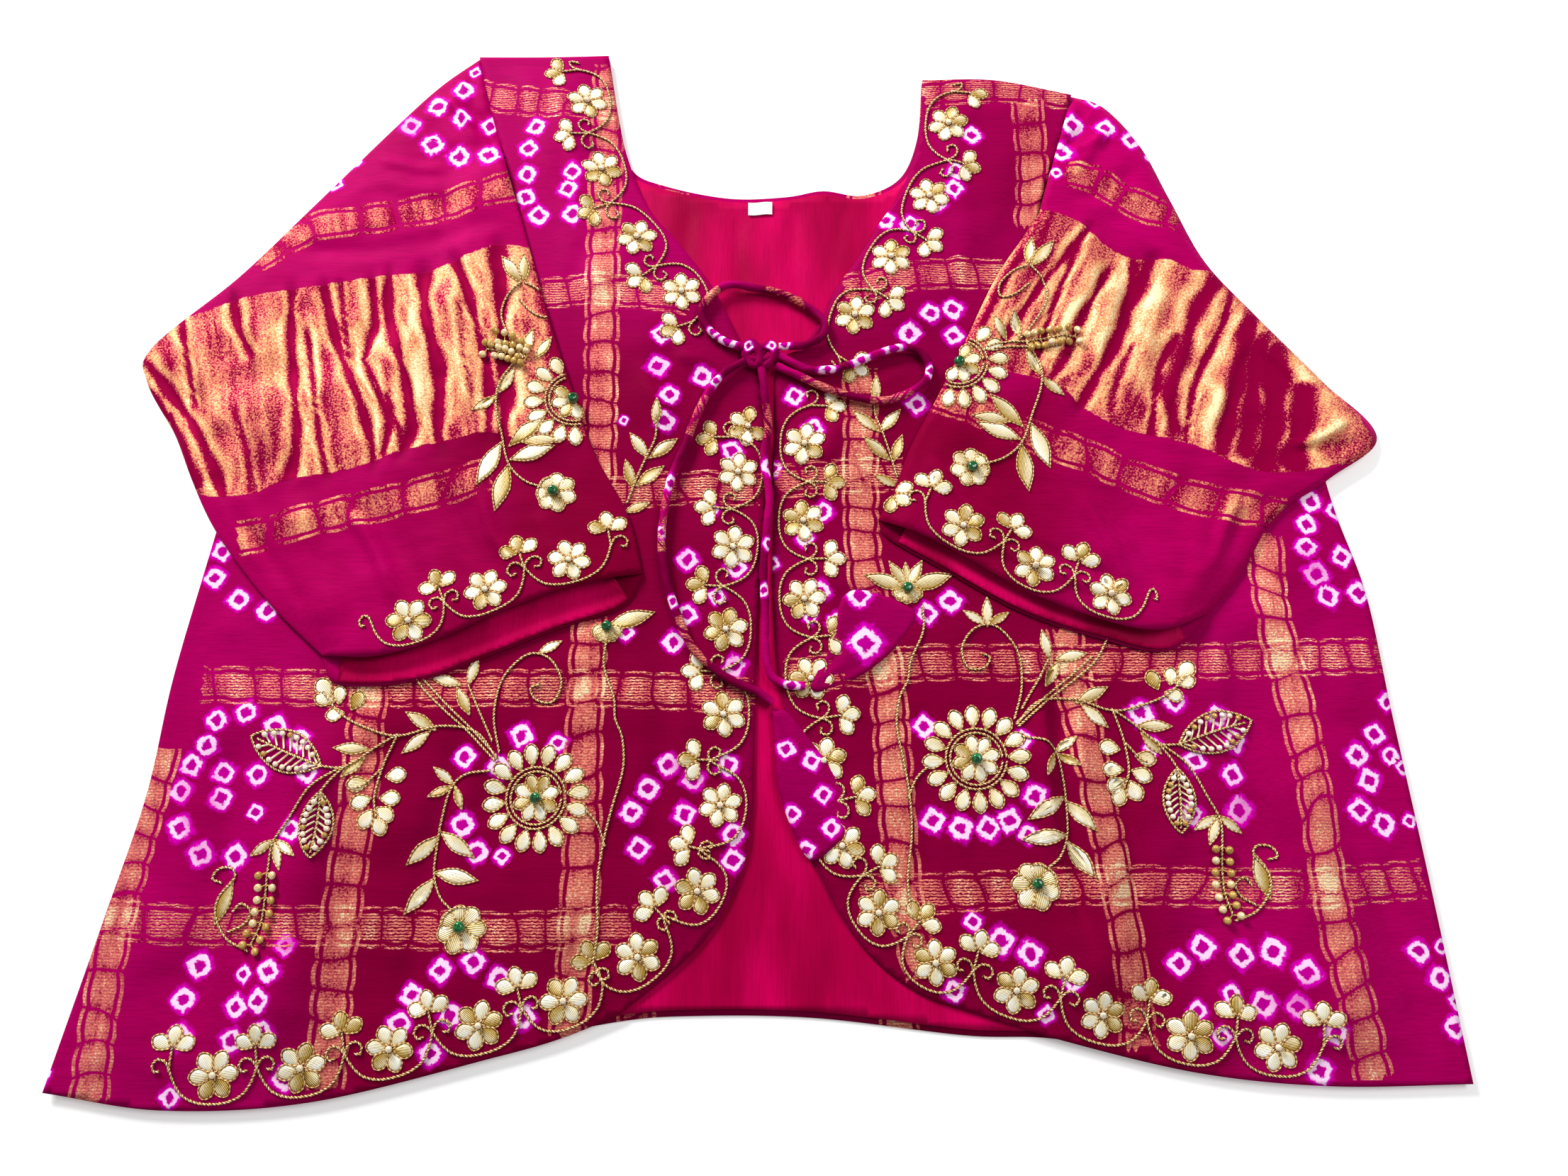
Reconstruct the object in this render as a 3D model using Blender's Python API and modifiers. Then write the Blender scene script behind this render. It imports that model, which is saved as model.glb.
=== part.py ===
"""Short open-front jacket of bandhani silk with gota flowers, laid flat.

The hem is towards -Y, the neck towards +Y and the lining is down on the
surface at Z = 0. Sizes and places below are in millimetres, and each mesh is
scaled to metres when it is made. Right and left are the wearer's: the right
front lies on the -X side.
"""
import math

import bpy
from mathutils import Vector
from mathutils.geometry import delaunay_2d_cdt

MM = 0.001

# Driving sizes of the cloth and of how it lies
WALL = 1.2
GAP = 0.35
LINING_WALL = 0.9
HEM_TURN = 3.0
EDGE_STEP = 13.0
FRONT_GRID = 20.0
SLEEVE_GRID = 17.0
FOLD_ROUND = 2.0
SLEEVE_HOLLOW = 1.0
MOUTH_HOLLOW = 3.2
MOUTH_DEPTH = 70.0
CREASE_RISE = 1.7
PETAL_RISE = 0.9
CORD = 4.5
PENDANT_WALL = 2.8

# Heights that follow from the walls
LINING_Z = WALL + GAP
FRONT_Z = LINING_Z + LINING_WALL + GAP
FRONT_TOP = FRONT_Z + WALL
ON_FRONT = FRONT_TOP + GAP
CORD_Z = ON_FRONT + PETAL_RISE + CORD / 2

# Edges of the right half, on the -X side, from the shoulder round to the front
R_SHOULDER = ((-92, 296), (-130, 295), (-170, 295))
R_ARMHOLE = ((-170, 295), (-162, 262), (-151, 225), (-142, 196))
R_UNDERARM = ((-142, 196), (-145, 160), (-160, 115), (-195, 75), (-245, 50), (-287, 38))
R_SIDE = ((-287, 38), (-298, -25), (-308, -86), (-314, -145), (-327, -205), (-346, -288))
R_HEM = ((-346, -288), (-286, -296), (-214, -292), (-128, -272), (-95, -263), (-67, -252))
R_CORNER = ((-67, -252), (-38, -229), (-20, -209), (-7, -182), (-2, -150))
R_OPENING = ((-2, -150), (-1, -95), (0, -45), (4, 0), (5, 45), (0, 90))
R_TIE_END = ((0, 90), (-4, 100), (-11, 109))
R_NECK = ((-11, 109), (-27, 142), (-46, 169), (-65, 193), (-78, 225), (-85, 255), (-92, 296))

# The same edges of the left half, on the +X side
L_SHOULDER = ((97, 279), (140, 279), (186, 269))
L_ARMHOLE = ((186, 269), (177, 238), (169, 212), (162, 188))
L_UNDERARM = ((162, 188), (162, 150), (178, 105), (215, 68), (262, 45), (309, 38))
L_SIDE = ((309, 38), (315, 5), (326, -40), (332, -105), (340, -185), (349, -284))
L_HEM = ((349, -284), (280, -285), (216, -279), (150, -264), (110, -252))
L_CORNER = ((110, -252), (83, -243), (60, -227), (43, -206), (28, -178))
L_OPENING = ((28, -178), (18, -130), (11, -80), (8, -35), (8, 20), (9, 60), (9, 88))
L_TIE_END = ((9, 88), (12, 98), (24, 104))
L_NECK = ((24, 104), (35, 121), (43, 140), (58, 163), (70, 184), (82, 203), (93, 235), (97, 279))

# Edges of the back that the fronts leave open
BACK_NECK = ((-92, 296), (-84, 250), (-76, 220), (-55, 209), (-18, 201), (15, 202),
             (37, 206), (60, 203), (82, 214), (93, 240), (97, 279))
BACK_HEM = ((-346, -286), (-286, -293), (-214, -289), (-128, -268), (-70, -256), (-30, -253),
            (30, -254), (103, -262), (150, -264), (216, -277), (280, -283), (349, -282))

# Sleeve edges: the top fold, the under fold, and the mouth of each layer
R_TOP_FOLD = ((-170, 295), (-193, 276), (-218, 248), (-262, 195), (-300, 150), (-344.5, 106),
              (-344.5, 84), (-322, 48), (-296, -1), (-262, -43), (-230, -73))
R_UNDER_FOLD = ((-62, -28), (-71, 5), (-90, 40), (-103, 75), (-116, 112), (-132, 163), (-142, 196))
R_UPPER_MOUTH = ((-230, -73), (-200, -74), (-165, -64), (-135, -50), (-100, -37), (-62, -28))
R_LOWER_MOUTH = ((-230, -73), (-220, -88), (-178, -86), (-145, -74), (-105, -58), (-72, -46),
                 (-62, -28))

L_TOP_FOLD = ((186, 269), (205, 262), (225, 236), (240, 200), (257, 160), (283, 126), (318, 84),
              (343, 51), (313, 26), (281, 4), (260, -27), (240, -50))
L_UNDER_FOLD = ((65, 2), (75, 22), (84, 45), (99, 73), (115, 105), (134, 145), (150, 170), (162, 188))
L_UPPER_MOUTH = ((240, -50), (212, -60), (180, -54), (140, -38), (100, -14), (65, 2))
L_LOWER_MOUTH = ((240, -50), (217, -70), (180, -63), (140, -49), (100, -26), (70, -8), (65, 2))

# Places well inside the body under each sleeve, and the size of the lining in its mouth
R_BODY_INNER = ((-150, -130), (-30, -60), (-70, 60), (-128, 180))
L_BODY_INNER = ((150, -130), (30, -20), (70, 60), (148, 172))
CUFF_LINING_END = 20.0
CUFF_LINING_DEEP = 40.0

# Soft folds of the fronts: foot and head of the ridge, half width, rise
FRONT_FOLDS = {
    "right_front": (((-232, -262), (-222, -120), 26, 1.6), ((-92, -225), (-108, -105), 22, 1.2)),
    "left_front": (((172, -240), (150, -105), 26, 2.0), ((290, -262), (272, -130), 28, 1.4)),
}

# Creases across each sleeve's gold band: place of the upper and lower end, rise
# of the crest, and the half width between the troughs beside it
SLEEVE_CREASES = {
    "right_sleeve": (
        ((-318, 118), (-300, 52), 0.9, 6), ((-292, 132), (-281, 34), 1.0, 7),
        ((-268, 134), (-254, 34), 0.8, 6), ((-247, 134), (-225, 42), 1.0, 5),
        ((-229, 138), (-207, 52), 0.7, 5), ((-208, 146), (-188, 50), 1.0, 6),
        ((-188, 150), (-164, 56), 0.9, 6), ((-166, 156), (-147, 62), 0.8, 5)),
    "left_sleeve": (
        ((181, 168), (152, 92), 1.0, 6),
        ((204, 158), (176, 80), 0.9, 6), ((226, 152), (198, 66), 1.0, 7),
        ((247, 142), (220, 58), 0.8, 6), ((266, 132), (244, 50), 1.0, 6),
        ((288, 110), (266, 52), 0.9, 6)),
}

# Gota border: pitch of its flowers, places inside the edge, and radii of a flower
# and of the three-petal sprig between two flowers
FLOWER_PITCH = 44.5
FLOWER_IN = 16.5
SPRIG_IN = 31.0
CUFF_FLOWER_IN = 20.0
CUFF_SPRIG_IN = 34.0
FLOWER_R = 10.0
SPRIG_R = 9.5

# Embroidered motifs inside the borders: kind, place, radius or length, turn
MOTIFS = {
    "right_front": (
        ("flower", -6, 57, 10, 0), ("rosette", -113, -147, 26, 0), ("flower", -113, -147, 12, 15),
        ("fan", -150, -206, 13, -90), ("leaf", -248, -120, 24, 160),
        ("leaf", -222, -155, 24, -80), ("fan", -196, -137, 14, -90), ("fan", -248, -171, 10, 100),
        ("leaf", -248, -196, 26, -95), ("leaf", -268, -198, 18, 60), ("leaf", -157, -139, 14, 60),
        ("leaf", -176, -180, 15, -130), ("leaf", -147, -187, 15, -20)),
    "left_front": (
        ("rosette", 113, -127, 26, 0), ("flower", 113, -127, 12, 15), ("fan", 143, -186, 13, -60),
        ("fan", 112, -48, 12, 90), ("fan", 189, -138, 14, -90), ("leaf", 237, -114, 24, 20),
        ("leaf", 213, -141, 24, -75),
        ("fan", 232, -166, 10, 100), ("leaf", 230, -186, 26, -85), ("leaf", 256, -186, 18, 120),
        ("fan", 208, -80, 13, 60), ("leaf", 151, -155, 15, 70), ("leaf", 169, -180, 15, -60)),
    "right_sleeve": (("fan", -112, 19, 13, 20), ("fan", -134, 150, 11, 90)),
    "left_sleeve": (("fan", 122, 33, 13, 160), ("fan", 158, 160, 10, 90), ("leaf", 163, 47, 15, -80)),
}

# Ties: routes from the knot, as places on the cloth and rise over it
KNOT = (1, 99)
KNOT_SIZE = (22, 17, 8)
UPPER_LOOP = ((-9, 103, 0), (-20, 107, 0), (-29, 115, 0), (-33, 124, 0), (-29, 134, 0),
              (-18, 142, -0.6), (-4, 141, -1.4), (12, 137, -1.6), (26, 130, -1.4), (36, 120, -0.2),
              (36, 111, 0), (27, 105, 0), (11, 103.5, 0))
SIDE_LOOP = ((11, 98, 0), (26, 90.5, 0), (40, 89.5, 0), (52, 93, 0), (66, 99, 0), (80, 103, 0),
             (90, 101, 0), (95, 92, 0), (92, 82, 0), (80, 74, 0), (66, 71, 0), (50, 74, 0), (34, 80, 0),
             (20, 87, 0), (9.5, 92, 0))
OUTER_TAIL = ((-8, 95, 0), (-18, 89, 0), (-27, 78, 0), (-34, 64, 0), (-40, 46, 0), (-47, 28, 0),
              (-51, 8, 0), (-52, -12, 0), (-49, -32, 0), (-43, -50, 0), (-36, -66, 0), (-24, -79, 0),
              (-12, -87, 0), (0, -92, -0.5), (8, -98, -0.85))
CENTRE_TAIL = ((1, 91, 0), (3, 76, 0), (5, 56, 0), (3, 36, 0), (6, 14, 0), (4, -8, 0), (3, -30, 0),
               (4, -52, 0), (4, -70, 0), (7, -83, -0.5), (15, -88, -0.8), (25, -89, -0.8))
PENDANT_UPPER = ((27.5, -88.8), (33, -78), (39, -61), (46, -40), (61, -37), (84, -49), (75, -66), (58, -81),
                 (40, -90), (30, -92))
PENDANT_LOWER = ((8, -102), (9, -120), (11, -142), (19, -165), (28, -178), (41, -170), (58, -157),
                 (44, -140), (29, -119), (16, -103), (11, -101.5))

LABEL = (0, 193, 14, 8, 0.6)

COLOURS = {
    "silk": ((0.42, 0.0, 0.12), 0.55, 0.0),
    "lining": ((0.36, 0.0, 0.035), 0.5, 0.0),
    "tie": ((0.30, 0.0, 0.09), 0.6, 0.0),
    "label": ((0.85, 0.84, 0.80), 0.7, 0.0),
}


# Plane geometry

def curve_through(points, step=EDGE_STEP):
    """Points of a smooth curve through the named ones, about a step apart."""
    pts = [Vector(p) for p in points]
    ghosts = [pts[0] * 2 - pts[1]] + pts + [pts[-1] * 2 - pts[-2]]
    out = []
    for i in range(1, len(ghosts) - 2):
        before, start, end, after = ghosts[i - 1:i + 3]
        count = max(1, round((end - start).length / step))
        for k in range(count):
            t = k / count
            out.append(0.5 * (start * 2 + (end - before) * t
                              + (before * 2 - start * 5 + end * 4 - after) * t * t
                              + (start * 3 - before - end * 3 + after) * t ** 3))
    return out + [pts[-1]]


def join(*edges):
    """One closed outline from edges that meet end to end."""
    outline = []
    for edge in edges:
        outline += edge[:-1]
    return outline


def shifted(line, distance):
    """The line moved to its left by a distance, in the plane."""
    out = []
    for i, p in enumerate(line):
        before = line[max(i - 1, 0)]
        after = line[min(i + 1, len(line) - 1)]
        way = (after - before).normalized()
        out.append(p + Vector((-way.y, way.x)) * distance)
    return out


def shrunk(outline, distance):
    """A closed outline moved inward by a distance; it runs counter-clockwise."""
    n = len(outline)
    out = []
    for i, p in enumerate(outline):
        way = (outline[(i + 1) % n] - outline[i - 1]).normalized()
        out.append(p + Vector((-way.y, way.x)) * distance)
    return out


def signed_area(outline):
    return 0.5 * sum(a.x * b.y - b.x * a.y for a, b in zip(outline, outline[1:] + outline[:1]))


def counter_clockwise(outline):
    return outline if signed_area(outline) > 0 else outline[::-1]


def inside(p, outline):
    hit = False
    for a, b in zip(outline, outline[1:] + outline[:1]):
        if (a.y > p.y) != (b.y > p.y) and p.x < (b.x - a.x) * (p.y - a.y) / (b.y - a.y) + a.x:
            hit = not hit
    return hit


def to_segment(p, a, b):
    run = b - a
    t = max(0.0, min(1.0, (p - a).dot(run) / max(run.length_squared, 1e-9)))
    return (p - a - run * t).length


def to_line(p, line, closed=False):
    """Distance from a point to a line of points."""
    ends = line[1:] + (line[:1] if closed else [])
    return min(to_segment(p, a, b) for a, b in zip(line, ends))


def smooth(t):
    t = max(0.0, min(1.0, t))
    return t * t * (3 - 2 * t)


def lattice(outline, spacing, avoid, clear):
    """Staggered points inside an outline, clear of its edge and of other lines."""
    lows = [min(p[k] for p in outline) for k in (0, 1)]
    highs = [max(p[k] for p in outline) for k in (0, 1)]
    rise = spacing * math.sqrt(3) / 2
    points = []
    for row in range(int(lows[1] // rise), int(highs[1] // rise) + 2):
        for col in range(int(lows[0] // spacing) - 1, int(highs[0] // spacing) + 2):
            p = Vector(((col + 0.5 * (row % 2)) * spacing, row * rise))
            if not inside(p, outline) or to_line(p, outline, True) < clear:
                continue
            if all(to_line(p, line) > clear for line in avoid):
                points.append(p)
    return points


def triangulate(outline, loops, points):
    """Triangles of the plane outline that keep the given loops as edges."""
    verts = [p.copy() for p in outline]
    edges = []
    for loop in loops:
        first = len(verts)
        verts += [p.copy() for p in loop]
        edges += [(first + k, first + k + 1) for k in range(len(loop) - 1)]
    verts += points
    result = delaunay_2d_cdt(verts, edges, [list(range(len(outline)))], 1, 1e-4)
    where, origin = result[0], result[3]
    numbers = {}
    for new, olds in enumerate(origin):
        for old in olds:
            numbers[old] = new
    return where, result[2], numbers


# Solids

def material(kind):
    colour, rough, metal = COLOURS[kind]
    mat = bpy.data.materials.new(kind)
    mat.use_nodes = True
    shader = mat.node_tree.nodes["Principled BSDF"]
    shader.inputs["Base Color"].default_value = (*colour, 1.0)
    shader.inputs["Roughness"].default_value = rough
    shader.inputs["Metallic"].default_value = metal
    return mat


def add_object(name, data, kind):
    obj = bpy.data.objects.new(name, data)
    data.materials.append(material(kind))
    jacket.objects.link(obj)
    return obj


def mesh_object(name, verts, faces, kind):
    mesh = bpy.data.meshes.new(name)
    mesh.from_pydata([(x * MM, y * MM, z * MM) for x, y, z in verts], [], faces)
    mesh.update()
    mesh.shade_smooth()
    mesh.set_sharp_from_angle(angle=math.radians(40))
    return add_object(name, mesh, kind)


class Shell:
    """Sheets of one closed solid, joined point by point where they share an edge."""

    def __init__(self):
        self.verts = []
        self.faces = []

    def point(self, xy, z):
        self.verts.append((xy.x, xy.y, z))
        return len(self.verts) - 1

    def sheet(self, outline, edge_ids, loops, loop_rise, points, height, up=True):
        """Add a triangulated sheet; edge_ids are the solid's points on its edge."""
        where, triangles, numbers = triangulate(outline, loops, points)
        ids = {}
        for k, vert_id in enumerate(edge_ids):
            ids[numbers[k]] = vert_id
        rise = {}
        k = len(outline)
        for loop, lift in zip(loops, loop_rise):
            for _ in loop:
                rise[numbers[k]] = lift
                k += 1
        for n, xy in enumerate(where):
            if n not in ids:
                ids[n] = self.point(xy, height(xy) + rise.get(n, 0.0))
        for tri in triangles:
            face = [ids[n] for n in tri]
            self.faces.append(face if up else face[::-1])

    def wall(self, upper_ids, lower_ids, closed=True):
        """Side faces between two edges, which run counter-clockwise seen from above."""
        n = len(upper_ids)
        for k in range(n if closed else n - 1):
            a, b = k, (k + 1) % n
            self.faces.append([lower_ids[a], lower_ids[b], upper_ids[b], upper_ids[a]])


def petal_loops(kind, x, y, size, turn):
    """Foot and crest outlines of one raised motif, with the rise of each."""
    if kind == "flower":
        foot, crest, lobes, start, span = (1.0, 0.62), (0.86, 0.5), 12, 0.0, 360.0
    elif kind == "rosette":
        rings = ((1.0, 0.0), (0.93, PETAL_RISE), (0.66, PETAL_RISE), (0.58, 0.2))
        return [([Vector((x, y)) + Vector((math.cos(math.tau * k / 16), math.sin(math.tau * k / 16)))
                  * (radius * size) for k in list(range(16)) + [0]], rise) for radius, rise in rings]
    elif kind in ("sprig", "fan"):
        foot, crest, lobes, start, span = (1.0, 0.62), (0.82, 0.48), 4, -62.0, 124.0
    else:
        foot, crest, lobes, start, span = (0.5, 0.2), (0.38, 0.12), 6, 0.0, 360.0
    loops = []
    for radii, rise in ((foot, 0.0), (crest, PETAL_RISE)):
        loop = []
        steps = lobes if span == 360.0 else lobes + 1
        for k in range(steps):
            angle = math.radians(turn + start + span * k / lobes)
            if kind == "leaf":
                r = radii[0] if k % 3 == 0 else radii[1] * 1.1
            else:
                r = radii[k % 2]
            loop.append(Vector((x, y)) + Vector((math.cos(angle), math.sin(angle))) * (r * size))
        if span != 360.0:
            back = math.radians(turn + 180)
            inset = 0.42 if rise == 0.0 else 0.28
            loop.append(Vector((x, y)) + Vector((math.cos(back), math.sin(back))) * (inset * size))
        loops.append((loop + [loop[0].copy()], rise))
    return loops


def along(line, distance):
    """The point and direction at a distance along a line."""
    for a, b in zip(line, line[1:]):
        step = (b - a).length
        if distance <= step:
            return a + (b - a) * (distance / step), (b - a).normalized()
        distance -= step
    return None


def border(edge, first, items, flower_in, sprig_in, side, with_flower=True):
    """Flowers and sprigs in turn along an edge, inside it by set distances."""
    rows = []
    for k in range(items):
        spot = along(edge, first + k * FLOWER_PITCH / 2)
        if spot is None:
            break
        p, way = spot
        inward = Vector((-way.y, way.x)) * side
        turn = math.degrees(math.atan2(inward.y, inward.x))
        if (k % 2 == 0) == with_flower:
            p = p + inward * flower_in
            rows.append(("flower", p.x, p.y, FLOWER_R, turn))
        else:
            p = p + inward * sprig_in
            rows.append(("sprig", p.x, p.y, SPRIG_R, turn))
    return rows


def raised_loops(rows, outline, covers, margin):
    """Loops of the motifs that lie clear of the edge and of what covers the cloth."""
    loops, rises = [], []
    for kind, x, y, size, turn in rows:
        rings = petal_loops(kind, x, y, size, turn)
        foot = rings[0][0]
        if any(not inside(p, outline) or to_line(p, outline, True) < margin for p in foot):
            continue
        if any(inside(p, cover) or to_line(p, cover, True) < margin for cover in covers for p in foot):
            continue
        if any(to_line(p, other) < 1.5 for other in loops for p in foot):
            continue
        for loop, rise in rings:
            loops.append(loop)
            rises.append(rise)
    return loops, rises


def fold_rise(p, folds):
    """Height of the soft folds at a point of a front."""
    rise = 0.0
    for foot, head, half, top in folds:
        a, b = Vector(foot), Vector(head)
        run = b - a
        t = (p - a).dot(run) / run.length_squared
        across = 1 - abs((p - a - run * t).length) / half
        ends = min(smooth((t + 0.25) / 0.4), smooth((1.2 - t) / 0.5))
        rise = max(rise, top * smooth(across) * ends)
    return rise


def flat_panel(name, outline, z, wall, kind):
    """A panel of one thickness that lies flat."""
    outline = counter_clockwise(outline)
    shell = Shell()
    top = [shell.point(p, z + wall) for p in outline]
    low = [shell.point(p, z) for p in outline]
    shell.sheet(outline, top, [], [], [], lambda p: z + wall)
    shell.sheet(outline, low, [], [], [], lambda p: z, up=False)
    shell.wall(top, low)
    return mesh_object(name, shell.verts, shell.faces, kind)


def front_panel(name, outline, rows, covers):
    """A front: it lies over the lining, with soft folds and raised gota."""
    outline = counter_clockwise(outline)
    folds = FRONT_FOLDS[name]

    def base(p):
        return FRONT_Z + fold_rise(p, folds)

    loops, rises = raised_loops(rows, outline, covers, 2.0)
    points = lattice(outline, FRONT_GRID, [], 0.55 * FRONT_GRID)
    clear = [p for p in points if all(to_line(p, loop) > 4.0 and not inside(p, loop) for loop in loops)]
    shell = Shell()
    top = [shell.point(p, base(p) + WALL) for p in outline]
    low = [shell.point(p, base(p)) for p in outline]
    shell.sheet(outline, top, loops, rises, clear, lambda p: base(p) + WALL)
    shell.sheet(outline, low, [], [], points, base, up=False)
    shell.wall(top, low)
    return mesh_object(name, shell.verts, shell.faces, "silk")


def sleeve(name, armhole, top_fold, under_fold, upper_mouth, lower_mouth, under_body, rows):
    """A sleeve laid flat: one wall all round, open at the armhole and the mouth.

    The edges run from the armhole down the top fold, across the mouth and back
    up the under fold, counter-clockwise seen from above.
    """
    round_in = FOLD_ROUND
    inner_in = WALL + 0.2
    mouth = curve_through(upper_mouth)

    def base(p):
        away = 0.0 if inside(p, under_body) else to_line(p, under_body, True)
        return ON_FRONT * (1 - smooth((away - 22.0) / 24.0))

    folds = [curve_through(top_fold), curve_through(under_fold)]

    def hollow(p):
        from_fold = min(to_line(p, f) for f in folds)
        depth = to_line(p, mouth)
        full = SLEEVE_HOLLOW + (MOUTH_HOLLOW - SLEEVE_HOLLOW) * (1 - smooth(depth / MOUTH_DEPTH))
        return full * smooth((from_fold + 3.0) / 20.0)

    def with_corners(line):
        """Rim points, with one close to each end where the fold turns in."""
        first = line[0] + (line[1] - line[0]).normalized() * (inner_in * 2)
        last = line[-1] + (line[-2] - line[-1]).normalized() * (inner_in * 2)
        return [line[0], first] + line[1:-1] + [last, line[-1]]

    rims = {
        "upper": (with_corners(curve_through(upper_mouth)), with_corners(armhole)),
        "lower": (with_corners(curve_through(lower_mouth)), with_corners(armhole)),
    }
    shell = Shell()

    def mid(p):
        return base(p) + WALL

    fold_points = [f[1:-1] for f in folds]
    corner = [folds[0][0], folds[0][-1], folds[1][0], folds[1][-1]]
    outer_fold_ids = [[shell.point(p, mid(p)) for p in f] for f in fold_points]
    outer_corner_ids = [shell.point(p, mid(p)) for p in corner]
    inner_folds = [shifted(f, inner_in) for f in folds]
    inner_fold_ids = [[shell.point(q, mid(p)) for p, q in zip(f[1:-1], g[1:-1])]
                      for f, g in zip(folds, inner_folds)]
    inner_corners = []
    for k, rim, end in ((0, rims["upper"][1], -1), (1, rims["upper"][0], 0),
                        (2, rims["upper"][0], -1), (3, rims["upper"][1], 0)):
        towards = rim[1] if end == 0 else rim[-2]
        inner_corners.append(corner[k] + (towards - corner[k]).normalized() * inner_in)
    inner_corner_ids = [shell.point(q, mid(p)) for p, q in zip(corner, inner_corners)]

    creases, crease_rise = [], []
    for head, foot, rise, half in SLEEVE_CREASES[name]:
        a, b = Vector(head), Vector(foot)
        side = Vector((-(b - a).normalized().y, (b - a).normalized().x)) * half
        creases.append([a + (b - a) * t for t in (0.18, 0.5, 0.82)])
        crease_rise.append(rise * CREASE_RISE)
        for shift in (side, -side):
            creases.append([a + (b - a) * t + shift for t in (0.1, 0.5, 0.9)])
            crease_rise.append(0.0)

    for layer, sign in (("upper", 1), ("lower", -1)):
        mouth_rim, armhole_rim = rims[layer]
        outline = ([corner[0]] + fold_points[0] + [corner[1]] + mouth_rim[1:-1]
                   + [corner[2]] + fold_points[1] + [corner[3]] + armhole_rim[1:-1])
        inner = ([inner_corners[0]] + inner_folds[0][1:-1] + [inner_corners[1]] + mouth_rim[1:-1]
                 + [inner_corners[2]] + inner_folds[1][1:-1] + [inner_corners[3]] + armhole_rim[1:-1])

        def outer_z(p):
            return base(p) if sign < 0 else base(p) + 2 * WALL + hollow(p)

        def inner_z(p):
            return base(p) + WALL if sign < 0 else base(p) + WALL + hollow(p)

        rim_out = [[shell.point(p, outer_z(p)) for p in rim[1:-1]] for rim in (mouth_rim, armhole_rim)]
        rim_in = [[shell.point(p, inner_z(p)) for p in rim[1:-1]] for rim in (mouth_rim, armhole_rim)]
        outer_ids = ([outer_corner_ids[0]] + outer_fold_ids[0] + [outer_corner_ids[1]] + rim_out[0]
                     + [outer_corner_ids[2]] + outer_fold_ids[1] + [outer_corner_ids[3]] + rim_out[1])
        inner_ids = ([inner_corner_ids[0]] + inner_fold_ids[0] + [inner_corner_ids[1]] + rim_in[0]
                     + [inner_corner_ids[2]] + inner_fold_ids[1] + [inner_corner_ids[3]] + rim_in[1])
        rounding = [shifted(f, round_in)[1:-1] for f in folds]
        loops, rises = list(rounding), [0.0, 0.0]
        if layer == "upper":
            gota, gota_rise = raised_loops(rows, outline, [], 4.0)
            loops += gota
            rises += gota_rise
            loops += creases
            rises += crease_rise
        avoid = rounding + [shifted(f, inner_in)[1:-1] for f in folds]
        points = lattice(outline, SLEEVE_GRID, avoid, 0.5 * SLEEVE_GRID)
        clear = [p for p in points if all(to_line(p, loop) > 5.0 for loop in loops)
                 and not any(inside(p, loop) for loop in loops[2:] if (loop[0] - loop[-1]).length < 1e-6)]
        shell.sheet(outline, outer_ids, loops, rises, clear, outer_z, up=sign > 0)
        shell.sheet(inner, inner_ids, [], [], points, inner_z, up=sign < 0)
        for out_ids, in_ids, ends in ((rim_out[0], rim_in[0], (1, 2)), (rim_out[1], rim_in[1], (3, 0))):
            out_ids = [outer_corner_ids[ends[0]]] + out_ids + [outer_corner_ids[ends[1]]]
            in_ids = [inner_corner_ids[ends[0]]] + in_ids + [inner_corner_ids[ends[1]]]
            if sign > 0:
                shell.wall(out_ids, in_ids, closed=False)
            else:
                shell.wall(in_ids, out_ids, closed=False)
    return mesh_object(name, shell.verts, shell.faces, "silk"), base


def cord(name, route):
    """A round cord of cloth on a smooth curve through its route."""
    flat = curve_through([(x, y, CORD_Z + rise) for x, y, rise in route], 9.5)
    curve = bpy.data.curves.new(name, "CURVE")
    curve.dimensions = "3D"
    curve.bevel_depth = CORD / 2 * MM
    curve.bevel_resolution = 2
    curve.render_resolution_u = 0
    curve.use_fill_caps = True
    spline = curve.splines.new("POLY")
    spline.points.add(len(flat) - 1)
    for point, p in zip(spline.points, flat):
        point.co = (p.x * MM, p.y * MM, p.z * MM, 1.0)
    return add_object(name, curve, "tie")


def pendant(name, outline, apex):
    """A folded cloth fan: two layers at its edge, crowned along its middle."""
    outline = counter_clockwise([Vector(p) for p in outline])
    shell = Shell()
    z = ON_FRONT
    layers = ((0.0, 0.0), (0.0, 0.45), (1.0, 0.5), (0.0, 0.62), (0.0, 1.0))
    rings = []
    for inset, level in layers:
        line = shrunk(outline, inset) if inset else outline
        rings.append([shell.point(p, z + level * PENDANT_WALL) for p in line])
    for low, high in zip(rings, rings[1:]):
        shell.wall(high, low)
    tip = Vector(apex)
    middle = sum(outline, Vector((0, 0))) / len(outline)
    ridge = [tip.lerp(middle, t) for t in (0.35, 0.8, 1.15)]
    shell.sheet(outline, rings[-1], [ridge], [0.7], [], lambda p: z + PENDANT_WALL)
    shell.sheet(outline, rings[0], [], [], [], lambda p: z, up=False)
    return mesh_object(name, shell.verts, shell.faces, "tie")


def rounded_block(name, centre, size, z, kind):
    """A soft knot of cloth from a box cage with rounded corners."""
    bpy.ops.mesh.primitive_cube_add(size=1.0)
    block = bpy.context.object
    block.name = name
    mesh = block.data
    for vert in mesh.vertices:
        vert.co.x *= size[0] * MM
        vert.co.y *= size[1] * MM
        vert.co.z *= size[2] * MM
    block.location = (centre[0] * MM, centre[1] * MM, z * MM)
    for collection in list(block.users_collection):
        collection.objects.unlink(block)
    jacket.objects.link(block)
    mesh.materials.append(material(kind))
    soften = block.modifiers.new("soften", "SUBSURF")
    soften.levels = soften.render_levels = 2
    return block


# The jacket, from the back up

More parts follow.
